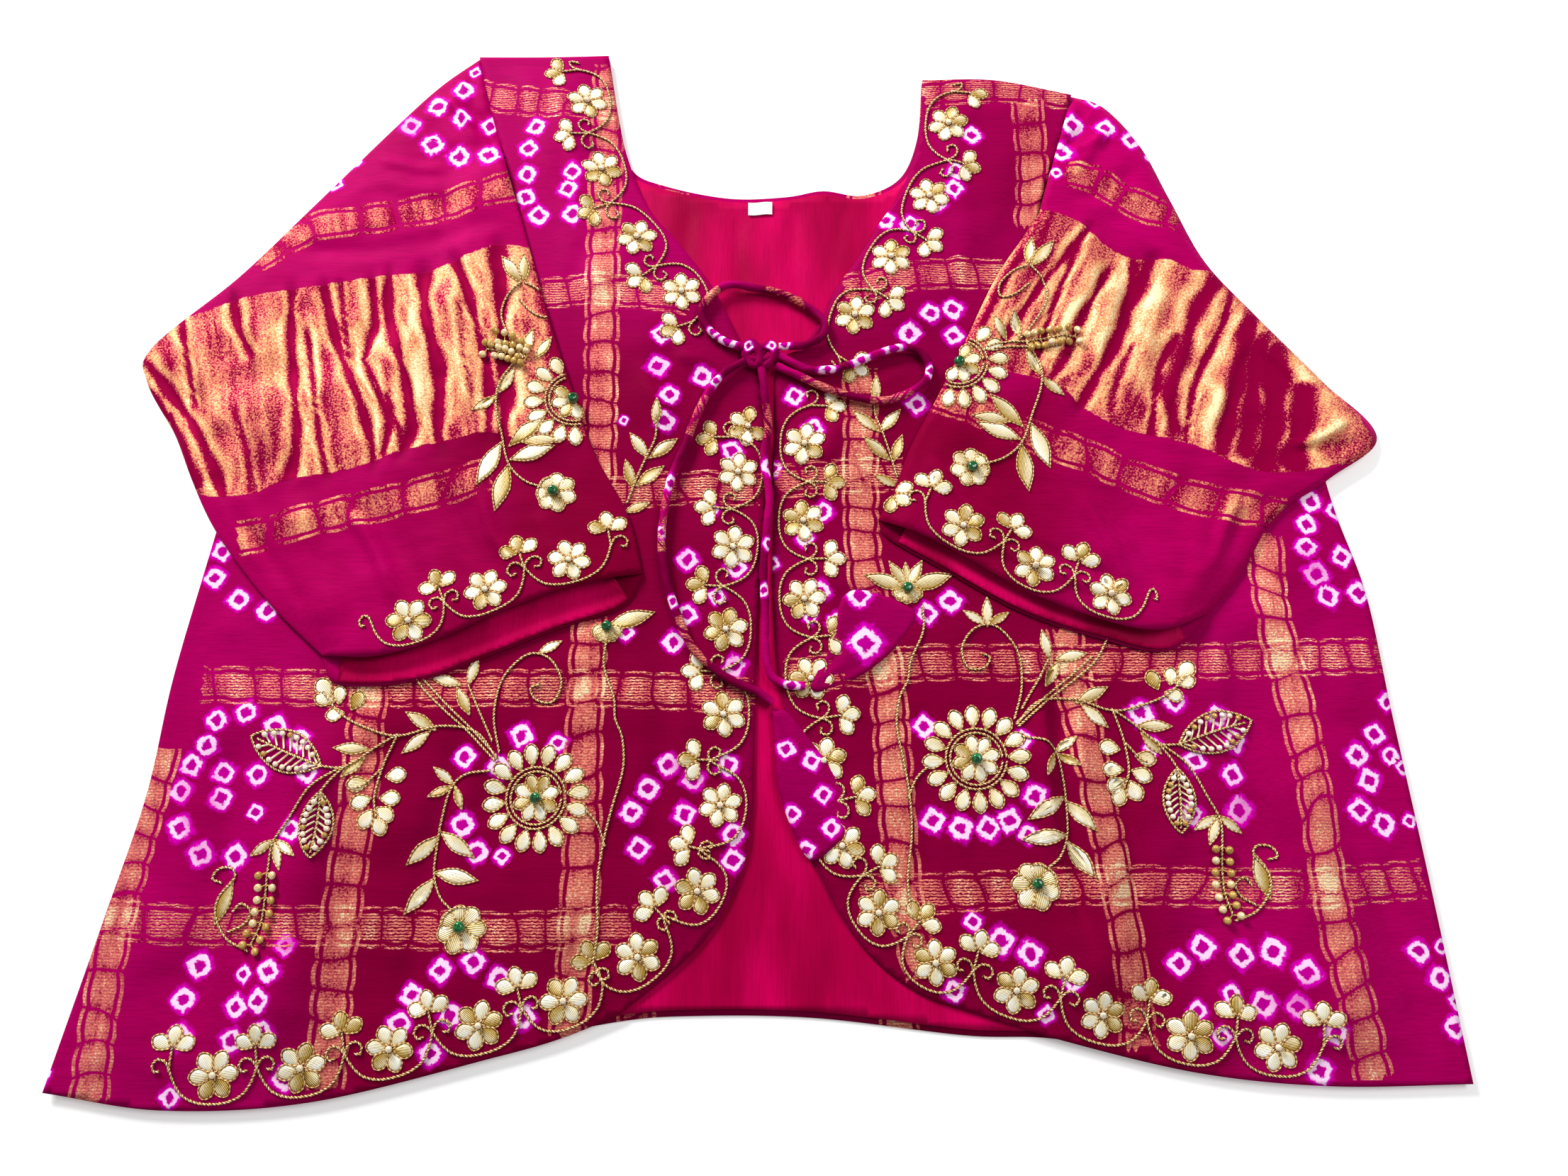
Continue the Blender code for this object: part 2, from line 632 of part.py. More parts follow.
for old in list(bpy.data.objects):
    bpy.data.objects.remove(old)
jacket = bpy.data.collections.new("open_front_jacket")
bpy.context.scene.collection.children.link(jacket)

right = {key: curve_through(points) for key, points in (
    ("shoulder", R_SHOULDER), ("armhole", R_ARMHOLE), ("underarm", R_UNDERARM), ("side", R_SIDE),
    ("hem", R_HEM), ("corner", R_CORNER), ("opening", R_OPENING), ("tie_end", R_TIE_END), ("neck", R_NECK))}
left = {key: curve_through(points) for key, points in (
    ("shoulder", L_SHOULDER), ("armhole", L_ARMHOLE), ("underarm", L_UNDERARM), ("side", L_SIDE),
    ("hem", L_HEM), ("corner", L_CORNER), ("opening", L_OPENING), ("tie_end", L_TIE_END), ("neck", L_NECK))}
back_neck = curve_through(BACK_NECK)
back_hem = curve_through(BACK_HEM)

back_outline = join(right["shoulder"], right["armhole"], right["underarm"],
                    right["side"][:-1] + [back_hem[0]], back_hem,
                    [back_hem[-1]] + left["side"][::-1][1:], left["underarm"][::-1],
                    left["armhole"][::-1], left["shoulder"][::-1], back_neck[::-1])
flat_panel("back", back_outline, 0.0, WALL, "silk")
lining_outline = shrunk(counter_clockwise(back_outline), HEM_TURN)
flat_panel("back_lining", lining_outline, LINING_Z, LINING_WALL, "lining")

x, y, wide, tall, thick = LABEL
label_outline = [Vector((x + sx * wide / 2, y + sy * tall / 2)) for sx, sy in
                 ((-1, -1), (1, -1), (1, 1), (-1, 1))]
flat_panel("size_label", label_outline, LINING_Z + LINING_WALL + GAP, thick, "label")

right_front = join(*(right[k] for k in ("shoulder", "armhole", "underarm", "side", "hem", "corner",
                                        "opening", "tie_end", "neck")))
left_front = join(*(left[k] for k in ("shoulder", "armhole", "underarm", "side", "hem", "corner",
                                      "opening", "tie_end", "neck")))

right_cover = join(*(curve_through(line) for line in (R_TOP_FOLD, R_LOWER_MOUTH, R_UNDER_FOLD,
                                                      R_ARMHOLE[::-1])))
left_cover = join(*(curve_through(line) for line in (L_TOP_FOLD, L_LOWER_MOUTH, L_UNDER_FOLD,
                                                     L_ARMHOLE[::-1])))
covers = [[Vector(p) for p in PENDANT_UPPER], [Vector(p) for p in PENDANT_LOWER]]
for name, half, outline, cover, side, first_sprig, items in (
        ("right_front", right, right_front, right_cover, -1, 38.0, 25),
        ("left_front", left, left_front, left_cover, 1, 19.0, 24)):
    neck = half["neck"][::-1]
    lower_edge = join(half["opening"][::-1], half["corner"][::-1], half["hem"][::-1])
    rows = border(neck, 30.0, 7, FLOWER_IN, SPRIG_IN, side)
    rows += border(lower_edge, first_sprig, items, FLOWER_IN, SPRIG_IN, side, with_flower=False)
    front_panel(name, outline, rows + list(MOTIFS[name]), [cover] + covers)

sleeve_edges = (
    ("right_sleeve", right["armhole"][::-1], R_TOP_FOLD, R_UPPER_MOUTH, R_LOWER_MOUTH, R_UNDER_FOLD,
     right["underarm"] + right["side"][1:10] + [Vector(p) for p in R_BODY_INNER], -1, 41.0),
    ("left_sleeve", left["armhole"], L_UNDER_FOLD[::-1], L_UPPER_MOUTH[::-1], L_LOWER_MOUTH[::-1],
     L_TOP_FOLD[::-1], left["underarm"] + left["side"][1:10] + [Vector(p) for p in L_BODY_INNER], -1, 50.0))
for name, armhole, first_fold, upper, lower, last_fold, under_body, away, first in sleeve_edges:
    armhole = shifted(armhole, away * -GAP)
    first_fold = (tuple(armhole[-1]),) + tuple(first_fold[1:])
    last_fold = tuple(last_fold[:-1]) + (tuple(armhole[0]),)
    rows = border(curve_through(upper), first, 6, CUFF_FLOWER_IN, CUFF_SPRIG_IN, 1)
    sleeve(name, armhole, first_fold, last_fold, upper, lower, under_body, rows + list(MOTIFS[name]))
    rim = curve_through(lower)
    rim = [p for p in rim if min((p - rim[0]).length, (p - rim[-1]).length) > CUFF_LINING_END]
    strip = shifted(rim, 1.5) + shifted(rim, CUFF_LINING_DEEP)[::-1]
    flat_panel(name.replace("sleeve", "cuff_lining"), strip, ON_FRONT + WALL + GAP, LINING_WALL, "lining")

rounded_block("tie_knot", KNOT, KNOT_SIZE, CORD_Z, "tie")
cord("tie_upper_loop", UPPER_LOOP)
cord("tie_side_loop", SIDE_LOOP)
cord("tie_outer_tail", OUTER_TAIL)
cord("tie_centre_tail", CENTRE_TAIL)
pendant("pendant_upper", PENDANT_UPPER, PENDANT_UPPER[0])
pendant("pendant_lower", PENDANT_LOWER, PENDANT_LOWER[-1])
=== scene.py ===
import math
import random

import bpy
import numpy as np
from mathutils.geometry import delaunay_2d_cdt
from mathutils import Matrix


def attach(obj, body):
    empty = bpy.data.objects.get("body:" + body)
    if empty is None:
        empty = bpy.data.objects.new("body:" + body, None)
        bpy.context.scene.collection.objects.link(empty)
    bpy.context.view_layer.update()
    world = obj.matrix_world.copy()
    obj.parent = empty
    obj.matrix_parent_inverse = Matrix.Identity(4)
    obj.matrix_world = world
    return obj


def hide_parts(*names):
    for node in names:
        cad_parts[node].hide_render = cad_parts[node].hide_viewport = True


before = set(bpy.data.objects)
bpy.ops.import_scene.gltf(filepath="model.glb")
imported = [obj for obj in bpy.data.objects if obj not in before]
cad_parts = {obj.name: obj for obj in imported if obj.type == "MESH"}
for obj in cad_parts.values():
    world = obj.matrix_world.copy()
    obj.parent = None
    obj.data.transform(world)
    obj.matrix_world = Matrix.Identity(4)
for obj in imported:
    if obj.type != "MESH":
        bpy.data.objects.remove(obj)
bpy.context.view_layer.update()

# Camera
# The jacket is photographed from above, a little from the hem, so the view leans by
# 14 degrees. The lens takes in the whole width of both sleeves.
bpy.ops.object.camera_add(location=(0.0139, -0.1893, 0.6210), rotation=(math.radians(14), 0, 0))
camera = bpy.context.object
camera.data.lens = 27.2
camera.data.sensor_width = 36
camera.data.clip_start = 0.01
bpy.context.scene.camera = camera

# Tie cords
# Two rouleau cords of bias-cut silk, turned right side out over their own seam
# allowance, are sewn into the front edges and tied in a bow at the bust.
MM = 0.001
CORD_WIDTH = 4.5
CORD_HEIGHT = 7.5
CORD_SIDES = 14
CORD_STEP = 1.1
FAR_AWAY = 9.0
BAND_REACH = 30.0


class Value:
    """A number, place or colour in a material's nodes, to be reckoned with like any other."""

    def __init__(self, tree, socket):
        self.tree, self.socket = tree, socket

    def reckon(self, operation, other=0.0):
        return add_node(self.tree, "Math", {0: self, 1: other}, operation=operation)

    def __add__(self, other):
        return self.reckon("ADD", other)

    def __sub__(self, other):
        return self.reckon("SUBTRACT", other)

    def __rsub__(self, other):
        return add_node(self.tree, "Math", {0: other, 1: self}, operation="SUBTRACT")

    def __mul__(self, other):
        return self.reckon("MULTIPLY", other)

    def __pow__(self, other):
        return self.reckon("POWER", other)

    def __abs__(self):
        return self.reckon("ABSOLUTE")

    def or_more(self, other):
        return self.reckon("MAXIMUM", other)

    def fade(self, low, high):
        """0 at low and 1 at high, with a soft run between them."""
        return add_node(self.tree, "MapRange", {"Value": self, "From Min": low, "From Max": high}, "Result",
                        interpolation_type="SMOOTHSTEP")

    def mix(self, first, second):
        """The first colour where the value is 0, the second where it is 1."""
        colours = {k: c if isinstance(c, Value) else (*c, 1.0) for k, c in ((6, first), (7, second))}
        return add_node(self.tree, "Mix", {0: self, **colours}, 2, data_type="RGBA")

    def bump(self, strength, distance):
        return add_node(self.tree, "Bump", {"Strength": strength, "Distance": distance, "Height": self})


def feed(tree, node, sockets):
    """Set a node's inputs, by link where the value is another node's."""
    for key, value in sockets.items():
        if isinstance(value, Value):
            tree.links.new(value.socket, node.inputs[key])
        else:
            node.inputs[key].default_value = value


def add_node(tree, kind, sockets, output=0, **settings):
    made = tree.nodes.new("ShaderNode" + kind)
    for key, value in settings.items():
        setattr(made, key, value)
    feed(tree, made, sockets)
    return Value(tree, made.outputs[output])


def new_finish(name):
    finish = bpy.data.materials.new(name)
    finish.use_nodes = True
    return finish, finish.node_tree, finish.node_tree.nodes["Principled BSDF"]


def painted(tree, name):
    """A value that the mesh holds at each of its points."""
    return add_node(tree, "Attribute", {}, "Fac", attribute_name=name)


def mapped(tree, name):
    """The two parts of a map that the mesh holds."""
    parts = add_node(tree, "SeparateXYZ", {0: add_node(tree, "UVMap", {}, uv_map=name)})
    return parts, Value(tree, parts.socket.node.outputs[1])


def speckle(tree, size, detail=2.0, stretch=(1, 1, 1)):
    """Noise fixed to the cloth, with patches of about a size in millimetres."""
    place = add_node(tree, "TexCoord", {}, "Object")
    scaled = add_node(tree, "Mapping", {"Vector": place, "Scale": [s / (size * MM) for s in stretch]})
    return add_node(tree, "TexNoise", {"Vector": scaled, "Scale": 1.0, "Detail": detail})


def stripes(tree, place, scale, way="Y", **more):
    sockets = {"Vector": place, "Scale": scale, **{k.replace("_", " "): v for k, v in more.items()}}
    return add_node(tree, "TexWave", sockets, "Fac", bands_direction=way)


def bandhani_silk(name, deep, bright, rich):
    """Silk dyed in one bath from deep to bright, with tied dots and gold woven in.

    The maps columns and rows hold the distance to the nearest gold band and the
    run along it, dots the place in the nearest tied dot, in centimetres or shares.
    Rich silk has the gold close, and plain silk has it as loose dashes.
    """
    silk, tree, shader = new_finish(name)
    place = add_node(tree, "TexCoord", {}, "Object")
    cloud, ripple, grain = speckle(tree, 60.0), speckle(tree, 9.0), speckle(tree, 1.0)
    slub = speckle(tree, 1.0, 3.0, (0.06, 1.4, 1))
    dye = painted(tree, "dye") + (cloud - 0.5) * 0.5
    colour = dye.fade(0.0, 1.0).mix(deep, bright)
    colour = (slub.fade(0.35, 0.75) * 0.25).mix(colour, [c * 0.5 for c in deep])

    # Tied dots: white where the thread held the dye off, with a dyed heart
    across, along = mapped(tree, "dots")
    reach = (abs(across) ** 1.3 + abs(along) ** 1.3) ** (1 / 1.3)
    reach = reach + (speckle(tree, 3.2) - 0.5) * 0.75 + (grain - 0.5) * 0.25
    colour = (reach.fade(1.5, 1.0) * 0.85).mix(colour, (0.72, 0.0, 0.5))
    colour = (reach.fade(0.55, 0.4) * 0.7).mix(colour, (0.42, 0.0, 0.2))
    held = reach.fade(1.02, 0.86) * reach.fade(0.44, 0.58) * cloud.fade(0.2, 0.45)
    colour = held.mix(colour, (1.0, 0.68, 0.93))

    # Gold bands: puckered blocks of close thread between two thin lines, each block with a painted highlight on
    # its crown
    weft = stripes(tree, place, 210.0, Distortion=4.0, Detail=2.0, Detail_Scale=2.5)
    gold, crown = 0.0, -0.3
    for name_of_map, block, close in (("columns", 17.0, 0.5), ("rows", 16.0 + 8.0 * rich, 0.8 * rich)):
        across, along = mapped(tree, name_of_map)
        part = (along * (10.0 / block) + cloud * 2.4).reckon("FRACT")
        bulge = part * (1.0 - part) * 4.0
        across = abs(across) * 10.0 - bulge * 1.3 + (ripple - 0.5) * 2.0
        lines = abs(across - 8.1).fade(1.15, 0.6)
        band = across.fade(5.6, 4.9).or_more(lines) * (part.fade(0.0, 0.05) * part.fade(0.95, 0.91))
        # Painted highlight: crown brightens the middle of each puckered block
        crown = band * bulge + crown
        gold = (band * weft.fade(0.34, 0.58).or_more(close)).or_more(gold)

    # Gold tissue of the sleeves: a wide band whose pinched folds show the silk, with painted shade in those
    # folds
    tissue = (painted(tree, "tissue") + ripple * 0.1).fade(0.1, 0.14)
    pinch = painted(tree, "pinch")
    gold = gold.or_more(tissue)
    creases = add_node(tree, "UVMap", {}, uv_map="creases")
    # Streaks along the creases are painted fold light and shade on the thread, over its real twill grain
    lit = (grain - 0.56) * 1.25
    for scale, share in (((0.75, 0.1, 1), 0.75), ((2.2, 0.3, 1), 0.55)):
        drawn = add_node(tree, "Mapping", {"Vector": creases, "Scale": scale})
        fold_light_streaks = add_node(tree, "TexNoise", {"Vector": drawn, "Scale": 1.0, "Detail": 3.0, "Distortion": 0.5})
        lit = lit + fold_light_streaks * share
    # Painted highlights on the ridges and block crowns, and painted shade in the pinched folds
    lit = lit + painted(tree, "ridge") * 0.52 + crown * 0.3 - pinch * 0.6 - (1.0 - tissue) * (0.2 * rich)
    thread = lit.fade(0.42, 0.54).mix((0.24, 0.0, 0.035), (0.58, 0.1, 0.1))
    thread = lit.fade(0.55, 0.86).mix(thread, (0.84, 0.26 + 0.14 * rich, 0.17))
    thread = lit.fade(0.86, 1.12).mix(thread, (1.0, 0.8, 0.46))
    # Painted shade: the silk darkens in the pinched folds, where the gold gives way to it
    colour = gold.mix((pinch * 0.5).mix(colour, [c * 0.4 for c in deep]), thread)

    weave = [stripes(tree, place, 800.0, way, Distortion=1.5, Detail=1.0) for way in ("X", "Y")]
    rise = weave[0].or_more(weave[1]) * 0.35 + (gold * 0.6 + slub * 0.5)
    feed(tree, shader, {
        "Base Color": colour, "Metallic": gold * 0.25, "Roughness": 0.5, "Specular IOR Level": 0.02,
        "Specular Tint": (1.0, 0.1, 0.35, 1.0), "Sheen Weight": 0.12, "Sheen Roughness": 0.4,
        "Sheen Tint": (1.0, 0.02, 0.45, 1.0), "Normal": rise.bump(0.35, 0.0003)})
    return silk


def unit(ways):
    """The ways, each made one long."""
    return ways / np.linalg.norm(ways, axis=1)[:, None]


def run_of(line):
    """How far along a line each of its points lies."""
    return np.concatenate([[0], np.cumsum(np.linalg.norm(np.diff(line, axis=0), axis=1))])


def curve_through(points, step):
    """Points of a smooth curve through pairs, or through x, y, x, y in one row, about a step apart."""
    pts = np.array(points, float)
    if pts.ndim == 1:
        pts = pts.reshape(-1, 2)
    ghosts = np.vstack([2 * pts[0] - pts[1], pts, 2 * pts[-1] - pts[-2]])
    out = []
    for before, start, end, after in zip(ghosts, ghosts[1:], ghosts[2:], ghosts[3:]):
        count = max(1, round(np.linalg.norm(end - start) / step))
        t = (np.arange(count) / count)[:, None]
        out.append(0.5 * (2 * start + (end - before) * t + (2 * before - 5 * start + 4 * end - after) * t ** 2
                          + (3 * start - before - 3 * end + after) * t ** 3))
    return np.vstack(out + [pts[-1:]])


def nearest_on(line, places):
    """For each place: its side distance from a line, the run along it, and the true distance."""
    starts, runs = line[:-1], np.diff(line, axis=0)
    lengths = np.linalg.norm(runs, axis=1)
    offset = places[:, None, :] - starts[None]
    t = np.clip((offset * runs).sum(2) / lengths ** 2, 0, 1)
    away = np.linalg.norm(offset - t[..., None] * runs, axis=2)
    best = away.argmin(1)
    rows = np.arange(len(places))
    chosen, run = offset[rows, best], runs[best]
    side = (run[:, 0] * chosen[:, 1] - run[:, 1] * chosen[:, 0]) / lengths[best]
    along = np.concatenate([[0], np.cumsum(lengths)])[best] + t[rows, best] * lengths[best]
    return side, along, away[rows, best]


def add_map(mesh, name, places):
    mesh.uv_layers.new(name=name).data.foreach_set("uv", np.asarray(places).ravel())


def add_values(mesh, name, values):
    mesh.attributes.new(name, "FLOAT", "POINT").data.foreach_set("value", values)


def points_of_corners(mesh):
    """The mesh's point at each corner of its faces."""
    points = np.empty(len(mesh.loops), int)
    mesh.loops.foreach_get("vertex_index", points)
    return points


def paint(piece, dots=(), columns=(), rows=(), lean=0.0, **shares):
    """Write the maps and values that the silk's dye and gold, and the painted shade and highlights of the
    sleeves, are set out by.
    """
    mesh = piece.data
    co = np.empty(len(mesh.vertices) * 3)
    mesh.vertices.foreach_get("co", co)
    flat = co.reshape(-1, 3)[:, :2] / MM
    counts = np.empty(len(mesh.polygons), int)
    mesh.polygons.foreach_get("loop_total", counts)
    face_of_corner = np.repeat(np.arange(len(counts)), counts)
    corners = flat[points_of_corners(mesh)]
    middles = np.stack([np.bincount(face_of_corner, corners[:, k]) / counts for k in (0, 1)], 1)

    for name, bands in (("columns", columns), ("rows", rows)):
        table = np.full((len(corners), 2), FAR_AWAY)
        best = np.full(len(middles), BAND_REACH)
        for band in bands:
            line = curve_through(band, 12.0)
            total = np.linalg.norm(np.diff(line, axis=0), axis=1).sum()
            along, away = nearest_on(line, middles)[1:]
            mine = (away < best) & (along > 0.5) & (along < total - 0.5)
            best[mine] = away[mine]
            chosen = mine[face_of_corner]
            table[chosen] = np.stack(nearest_on(line, corners[chosen])[:2], 1) / 10
        add_map(mesh, name, table)
    spots = np.full((len(corners), 2), FAR_AWAY)
    if len(dots):
        table = np.array([(x, y) for x, y, *_ in dots], float)
        half = np.array([dot[2] for dot in dots], float)
        turn = np.array([math.radians(dot[3]) if len(dot) > 3 else 0.3 * math.sin(dot[0] * 1.7 + dot[1])
                         for dot in dots])
        gap = np.linalg.norm(middles[:, None] - table[None], axis=2)
        near = gap.argmin(1)
        close = (gap.min(1) < 3 * half[near])[face_of_corner]
        near = near[face_of_corner]
        d = (corners - table[near]) / half[near][:, None]
        c, s = np.cos(turn[near]), np.sin(turn[near])
        spots[close] = np.stack([c * d[:, 0] + s * d[:, 1], c * d[:, 1] - s * d[:, 0]], 1)[close]
    add_map(mesh, "dots", spots)
    add_map(mesh, "creases", np.stack([corners[:, 0] + lean * corners[:, 1], corners[:, 1]], 1) / 10)
    for name, value in shares.items():
        add_values(mesh, name, np.broadcast_to(value(flat), len(flat)))


def add_piece(name, verts, faces, finish, slot):
    """A piece of the jacket from places in millimetres, riding on the one body."""
    mesh = bpy.data.meshes.new(name)
    mesh.from_pydata((np.asarray(verts) * MM).tolist(), [], faces)
    mesh.shade_smooth()
    mesh.materials.append(finish)
    piece = bpy.data.objects.new(name, mesh)
    bpy.context.scene.collection.objects.link(piece)
    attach(piece, "root")
    return piece


def tube(line, radius, sides, closed=False):
    """Rings round a line and the faces between them; radius is one value or one for each point."""
    line = np.asarray(line, float)
    if closed:
        way = np.roll(line, -1, 0) - np.roll(line, 1, 0)
    else:
        way = np.gradient(line, axis=0)
    way = unit(way)
    side = np.cross((0, 0, 1.0), way)
    side /= np.maximum(np.linalg.norm(side, axis=1), 1e-6)[:, None]
    up = np.cross(way, side)
    turn = np.arange(sides) * math.tau / sides
    radius = np.broadcast_to(radius, (len(line), sides))
    verts = (line[:, None] + radius[..., None] * (np.cos(turn)[None, :, None] * side[:, None]
                                                  + np.sin(turn)[None, :, None] * up[:, None]))
    faces = []
    count = len(line)
    for i in range(count if closed else count - 1):
        j = (i + 1) % count
        for k in range(sides):
            m = (k + 1) % sides
            faces.append((i * sides + k, j * sides + k, j * sides + m, i * sides + m)[::-1])
    if not closed:
        faces.append(tuple(range(sides)))
        faces.append(tuple((count - 1) * sides + k for k in range(sides))[::-1])
    return verts.reshape(-1, 3), faces


# Routes are rows of x, y, z with z counted from the cords' height; all other routes are rows of x, y
TIE_ROUTES = {
    "tie_upper_loop": (
        -9, 103, 0, -20, 107, 0, -29, 115, 0, -33, 124, 0, -29, 134, 0, -18, 142, -0.6, -4, 141, -1.4,
        12, 137, -1.6, 26, 130, -1.4, 36, 120, -0.2, 36, 111, 0, 27, 105, 0, 11, 103.5, 0),
    "tie_side_loop": (
        11, 98, 0, 26, 90.5, 0, 40, 89.5, 0, 52, 93, 0, 66, 99, 0, 80, 103, 0, 90, 101, 0, 95, 92, 0,
        92, 82, 0, 80, 74, 0, 66, 71, 0, 50, 74, 0, 34, 80, 0, 20, 87, 0, 9.5, 92, 0),
    "tie_outer_tail": (
        -8, 95, 0, -18, 89, 0, -27, 78, 0, -34, 64, 0, -40, 46, 0, -47, 28, 0, -51, 8, 0, -52, -12, 0,
        -49, -32, 0, -43, -50, 0, -36, -66, 0, -24, -79, 0, -12, -87, 0, 0, -92, -0.5, 8, -98, -0.85),
    "tie_centre_tail": (
        1, 91, 0, 3, 76, 0, 5, 56, 0, 3, 36, 0, 6, 14, 0, 4, -8, 0, 3, -30, 0, 4, -52, 0, 4, -70, 0,
        7, -83, -0.5, 15, -88, -0.8, 25, -89, -0.8),
}
CORD_DOTS = {
    "tie_upper_loop": ((-18, 106, 6), (-26, 112, 4), (14, 104, 4)),
    "tie_side_loop": ((75, 102, 6), (57, 95, 6), (38, 89, 5), (96, 88, 4)),
    "tie_outer_tail": ((-24, 82, 4), (-48, 22, 5), (-52, -6, 4), (-45, -44, 4)),
    "tie_centre_tail": ((7, 32, 6), (6, -12, 4), (3, -38, 4), (18, -89, 5)),
}
CORD_BANDS = {
    "tie_upper_loop": ((-36, 126, -24, 140), (2, 139, 26, 129)),
    "tie_side_loop": ((84, 80, 62, 72), (50, 75, 24, 85)),
    "tie_outer_tail": ((-28, 74, -38, 50), (-46, 16, -51, -16), (-44, -52, -24, -78)),
    "tie_centre_tail": ((3, 70, 4, 48),),
}
tie_silk = bandhani_silk("tie silk", (0.17, 0.0, 0.035), (0.44, 0.0, 0.12), 0.3)
tie_pieces = {}
dice = random.Random(7)
for cord_name, route in TIE_ROUTES.items():
    line = curve_through(np.reshape(route, (-1, 3)) + (0, 0, CORD_HEIGHT), CORD_STEP)
    # The bias cloth drags into slanting wrinkles as it goes round a bend
    around = np.arange(CORD_SIDES) * math.tau / CORD_SIDES
    run = np.arange(len(line))[:, None] * CORD_STEP
    phase = dice.uniform(0, 6)
    wrinkle = (0.05 * np.sin(run / 2.3 + 2 * around[None] + phase)
               + 0.05 * np.sin(run / 5.1 - around[None] + 1.7 * phase)
               + 0.03 * np.sin(run / 1.4 - 3 * around[None]))
    seam = np.cos(around[None] + run / 5.5 + phase)
    wrinkle += 0.13 * np.clip(seam, 0.62, 1) - 0.08 - 0.07 * np.exp(-((seam - 0.55) / 0.12) ** 2)
    piece = add_piece(cord_name + "_silk", *tube(line, CORD_WIDTH / 2 * (0.97 + wrinkle), CORD_SIDES),
                      tie_silk, "tie")
    paint(piece, dots=CORD_DOTS[cord_name], dye=lambda p: 0.5 + 0.4 * np.sin(p[:, 0] / 9 + p[:, 1] / 14))
    # The gold bands cross the bias strip aslant, so they wind round the finished cord
    places = np.full((len(piece.data.loops), 2), FAR_AWAY)
    for band in CORD_BANDS[cord_name]:
        first, last = sorted(CORD_STEP * np.linalg.norm(line[:, :2] - end, axis=1).argmin()
                             for end in (band[:2], band[2:]))
        for face in piece.data.polygons[:(len(line) - 1) * CORD_SIDES]:
            ring, slot = divmod(face.index, CORD_SIDES)
            if not first < ring * CORD_STEP < last:
                continue
            for corner in face.loop_indices:
                vert = piece.data.loops[corner].vertex_index
                turned = slot if vert % CORD_SIDES == slot else slot + 1
                girth = turned / CORD_SIDES * CORD_WIDTH * math.pi
                along = CORD_STEP * (vert // CORD_SIDES)
                places[corner] = (((along + girth) * 0.7 + 8) % 19 - 8) / 10, (along - girth) * 0.07
    piece.data.uv_layers["rows"].data.foreach_set("uv", places.ravel())
    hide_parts(cord_name)
    tie_pieces[cord_name] = (piece, line)

# Cord pendants
# Each cord ends in a small square of the same silk, folded corner to corner over a
# scrap of wadding into a soft fan, gathered at its point and sewn to the cord.
PENDANTS = {
    "pendant_upper": {
        "edge": (
            27.5, -88.8, 33, -78, 39, -61, 46, -40, 61, -37, 84, -49, 75, -66, 58, -81, 40, -90, 30, -92),
        "point": (28, -90),
        "dots": ((57, -66, 9, 0.4), (54, -40, 7, 0.9)),
    },
    "pendant_lower": {
        "edge": (
            8, -102, 9, -120, 11, -142, 19, -165, 28, -178, 41, -170, 58, -157, 44, -140, 29, -119, 16, -103,
            11, -101.5),
        "point": (9.5, -101),
        "dots": ((15, -122, 5), (28, -128, 5), (18, -155, 5), (34, -145, 5), (38, -162, 5), (25, -173, 5)),
    },
}
PENDANT_FOOT = 4.4
PENDANT_WALL = 2.6


def inside_of(outline, places):
    """Which places lie inside a closed outline."""
    hit = np.zeros(len(places), bool)
    for a, b in zip(outline, np.roll(outline, -1, 0)):
        crosses = (a[1] > places[:, 1]) != (b[1] > places[:, 1])
        if a[1] != b[1]:
            hit ^= crosses & (places[:, 0] < (b[0] - a[0]) * (places[:, 1] - a[1]) / (b[1] - a[1]) + a[0])
    return hit


def line_distance(line, places):
    """The distance from each place to a line, reckoned in parts to spare memory."""
    parts = np.array_split(places, 1 + len(places) // 2000)
    return np.concatenate([nearest_on(line, part)[2] for part in parts])


def edge_distance(outline, places):
    return line_distance(np.vstack([outline, outline[:1]]), places)


def lattice(outline, pitch, clear):
    """Staggered places inside an outline, clear of its edge."""
    low, high = outline.min(0), outline.max(0)
    rise = pitch * math.sqrt(3) / 2
    y, x = np.mgrid[0:int((high[1] - low[1]) / rise) + 2, 0:int((high[0] - low[0]) / pitch) + 2].astype(float)
    places = np.stack([low[0] + (x + 0.5 * (y % 2)) * pitch, low[1] + y * rise], -1).reshape(-1, 2)
    places = places[inside_of(outline, places)]
    return places[edge_distance(outline, places) > clear]


def two_faced(outline, places, top, under):
    """A closed wall of cloth over an outline, between its top and its under side."""
    flat = delaunay_2d_cdt([tuple(p) for p in (*outline, *places)], [], [list(range(len(outline)))], 1, 1e-5)
    where = np.array([tuple(v) for v in flat[0]])
    order = {old: new for new, olds in enumerate(flat[3]) for old in olds}
    n = len(where)
    verts = np.vstack([np.column_stack([where, side(where)]) for side in (top, under)])
    faces = [tuple(t) for t in flat[2]] + [tuple(n + k for k in t[::-1]) for t in flat[2]]
    ring = [order[k] for k in range(len(outline))]
    faces += [(n + a, n + b, b, a) for a, b in zip(ring, ring[1:] + ring[:1])]
    return verts, faces


def level(height):
    return lambda places: np.full(len(places), height)


def wound_left(outline):
    """The outline, running counter-clockwise."""
    x, y = outline.T
    area = 0.5 * (x * np.roll(y, -1) - y * np.roll(x, -1)).sum()
    return outline if area > 0 else outline[::-1]


def quarter_round(near, radius):
    """How far a rolled edge has risen: 0 on the edge, 1 past its turn."""
    return np.sqrt(np.clip(1 - (1 - np.clip(near / radius, 0, 1)) ** 2, 0, 1))


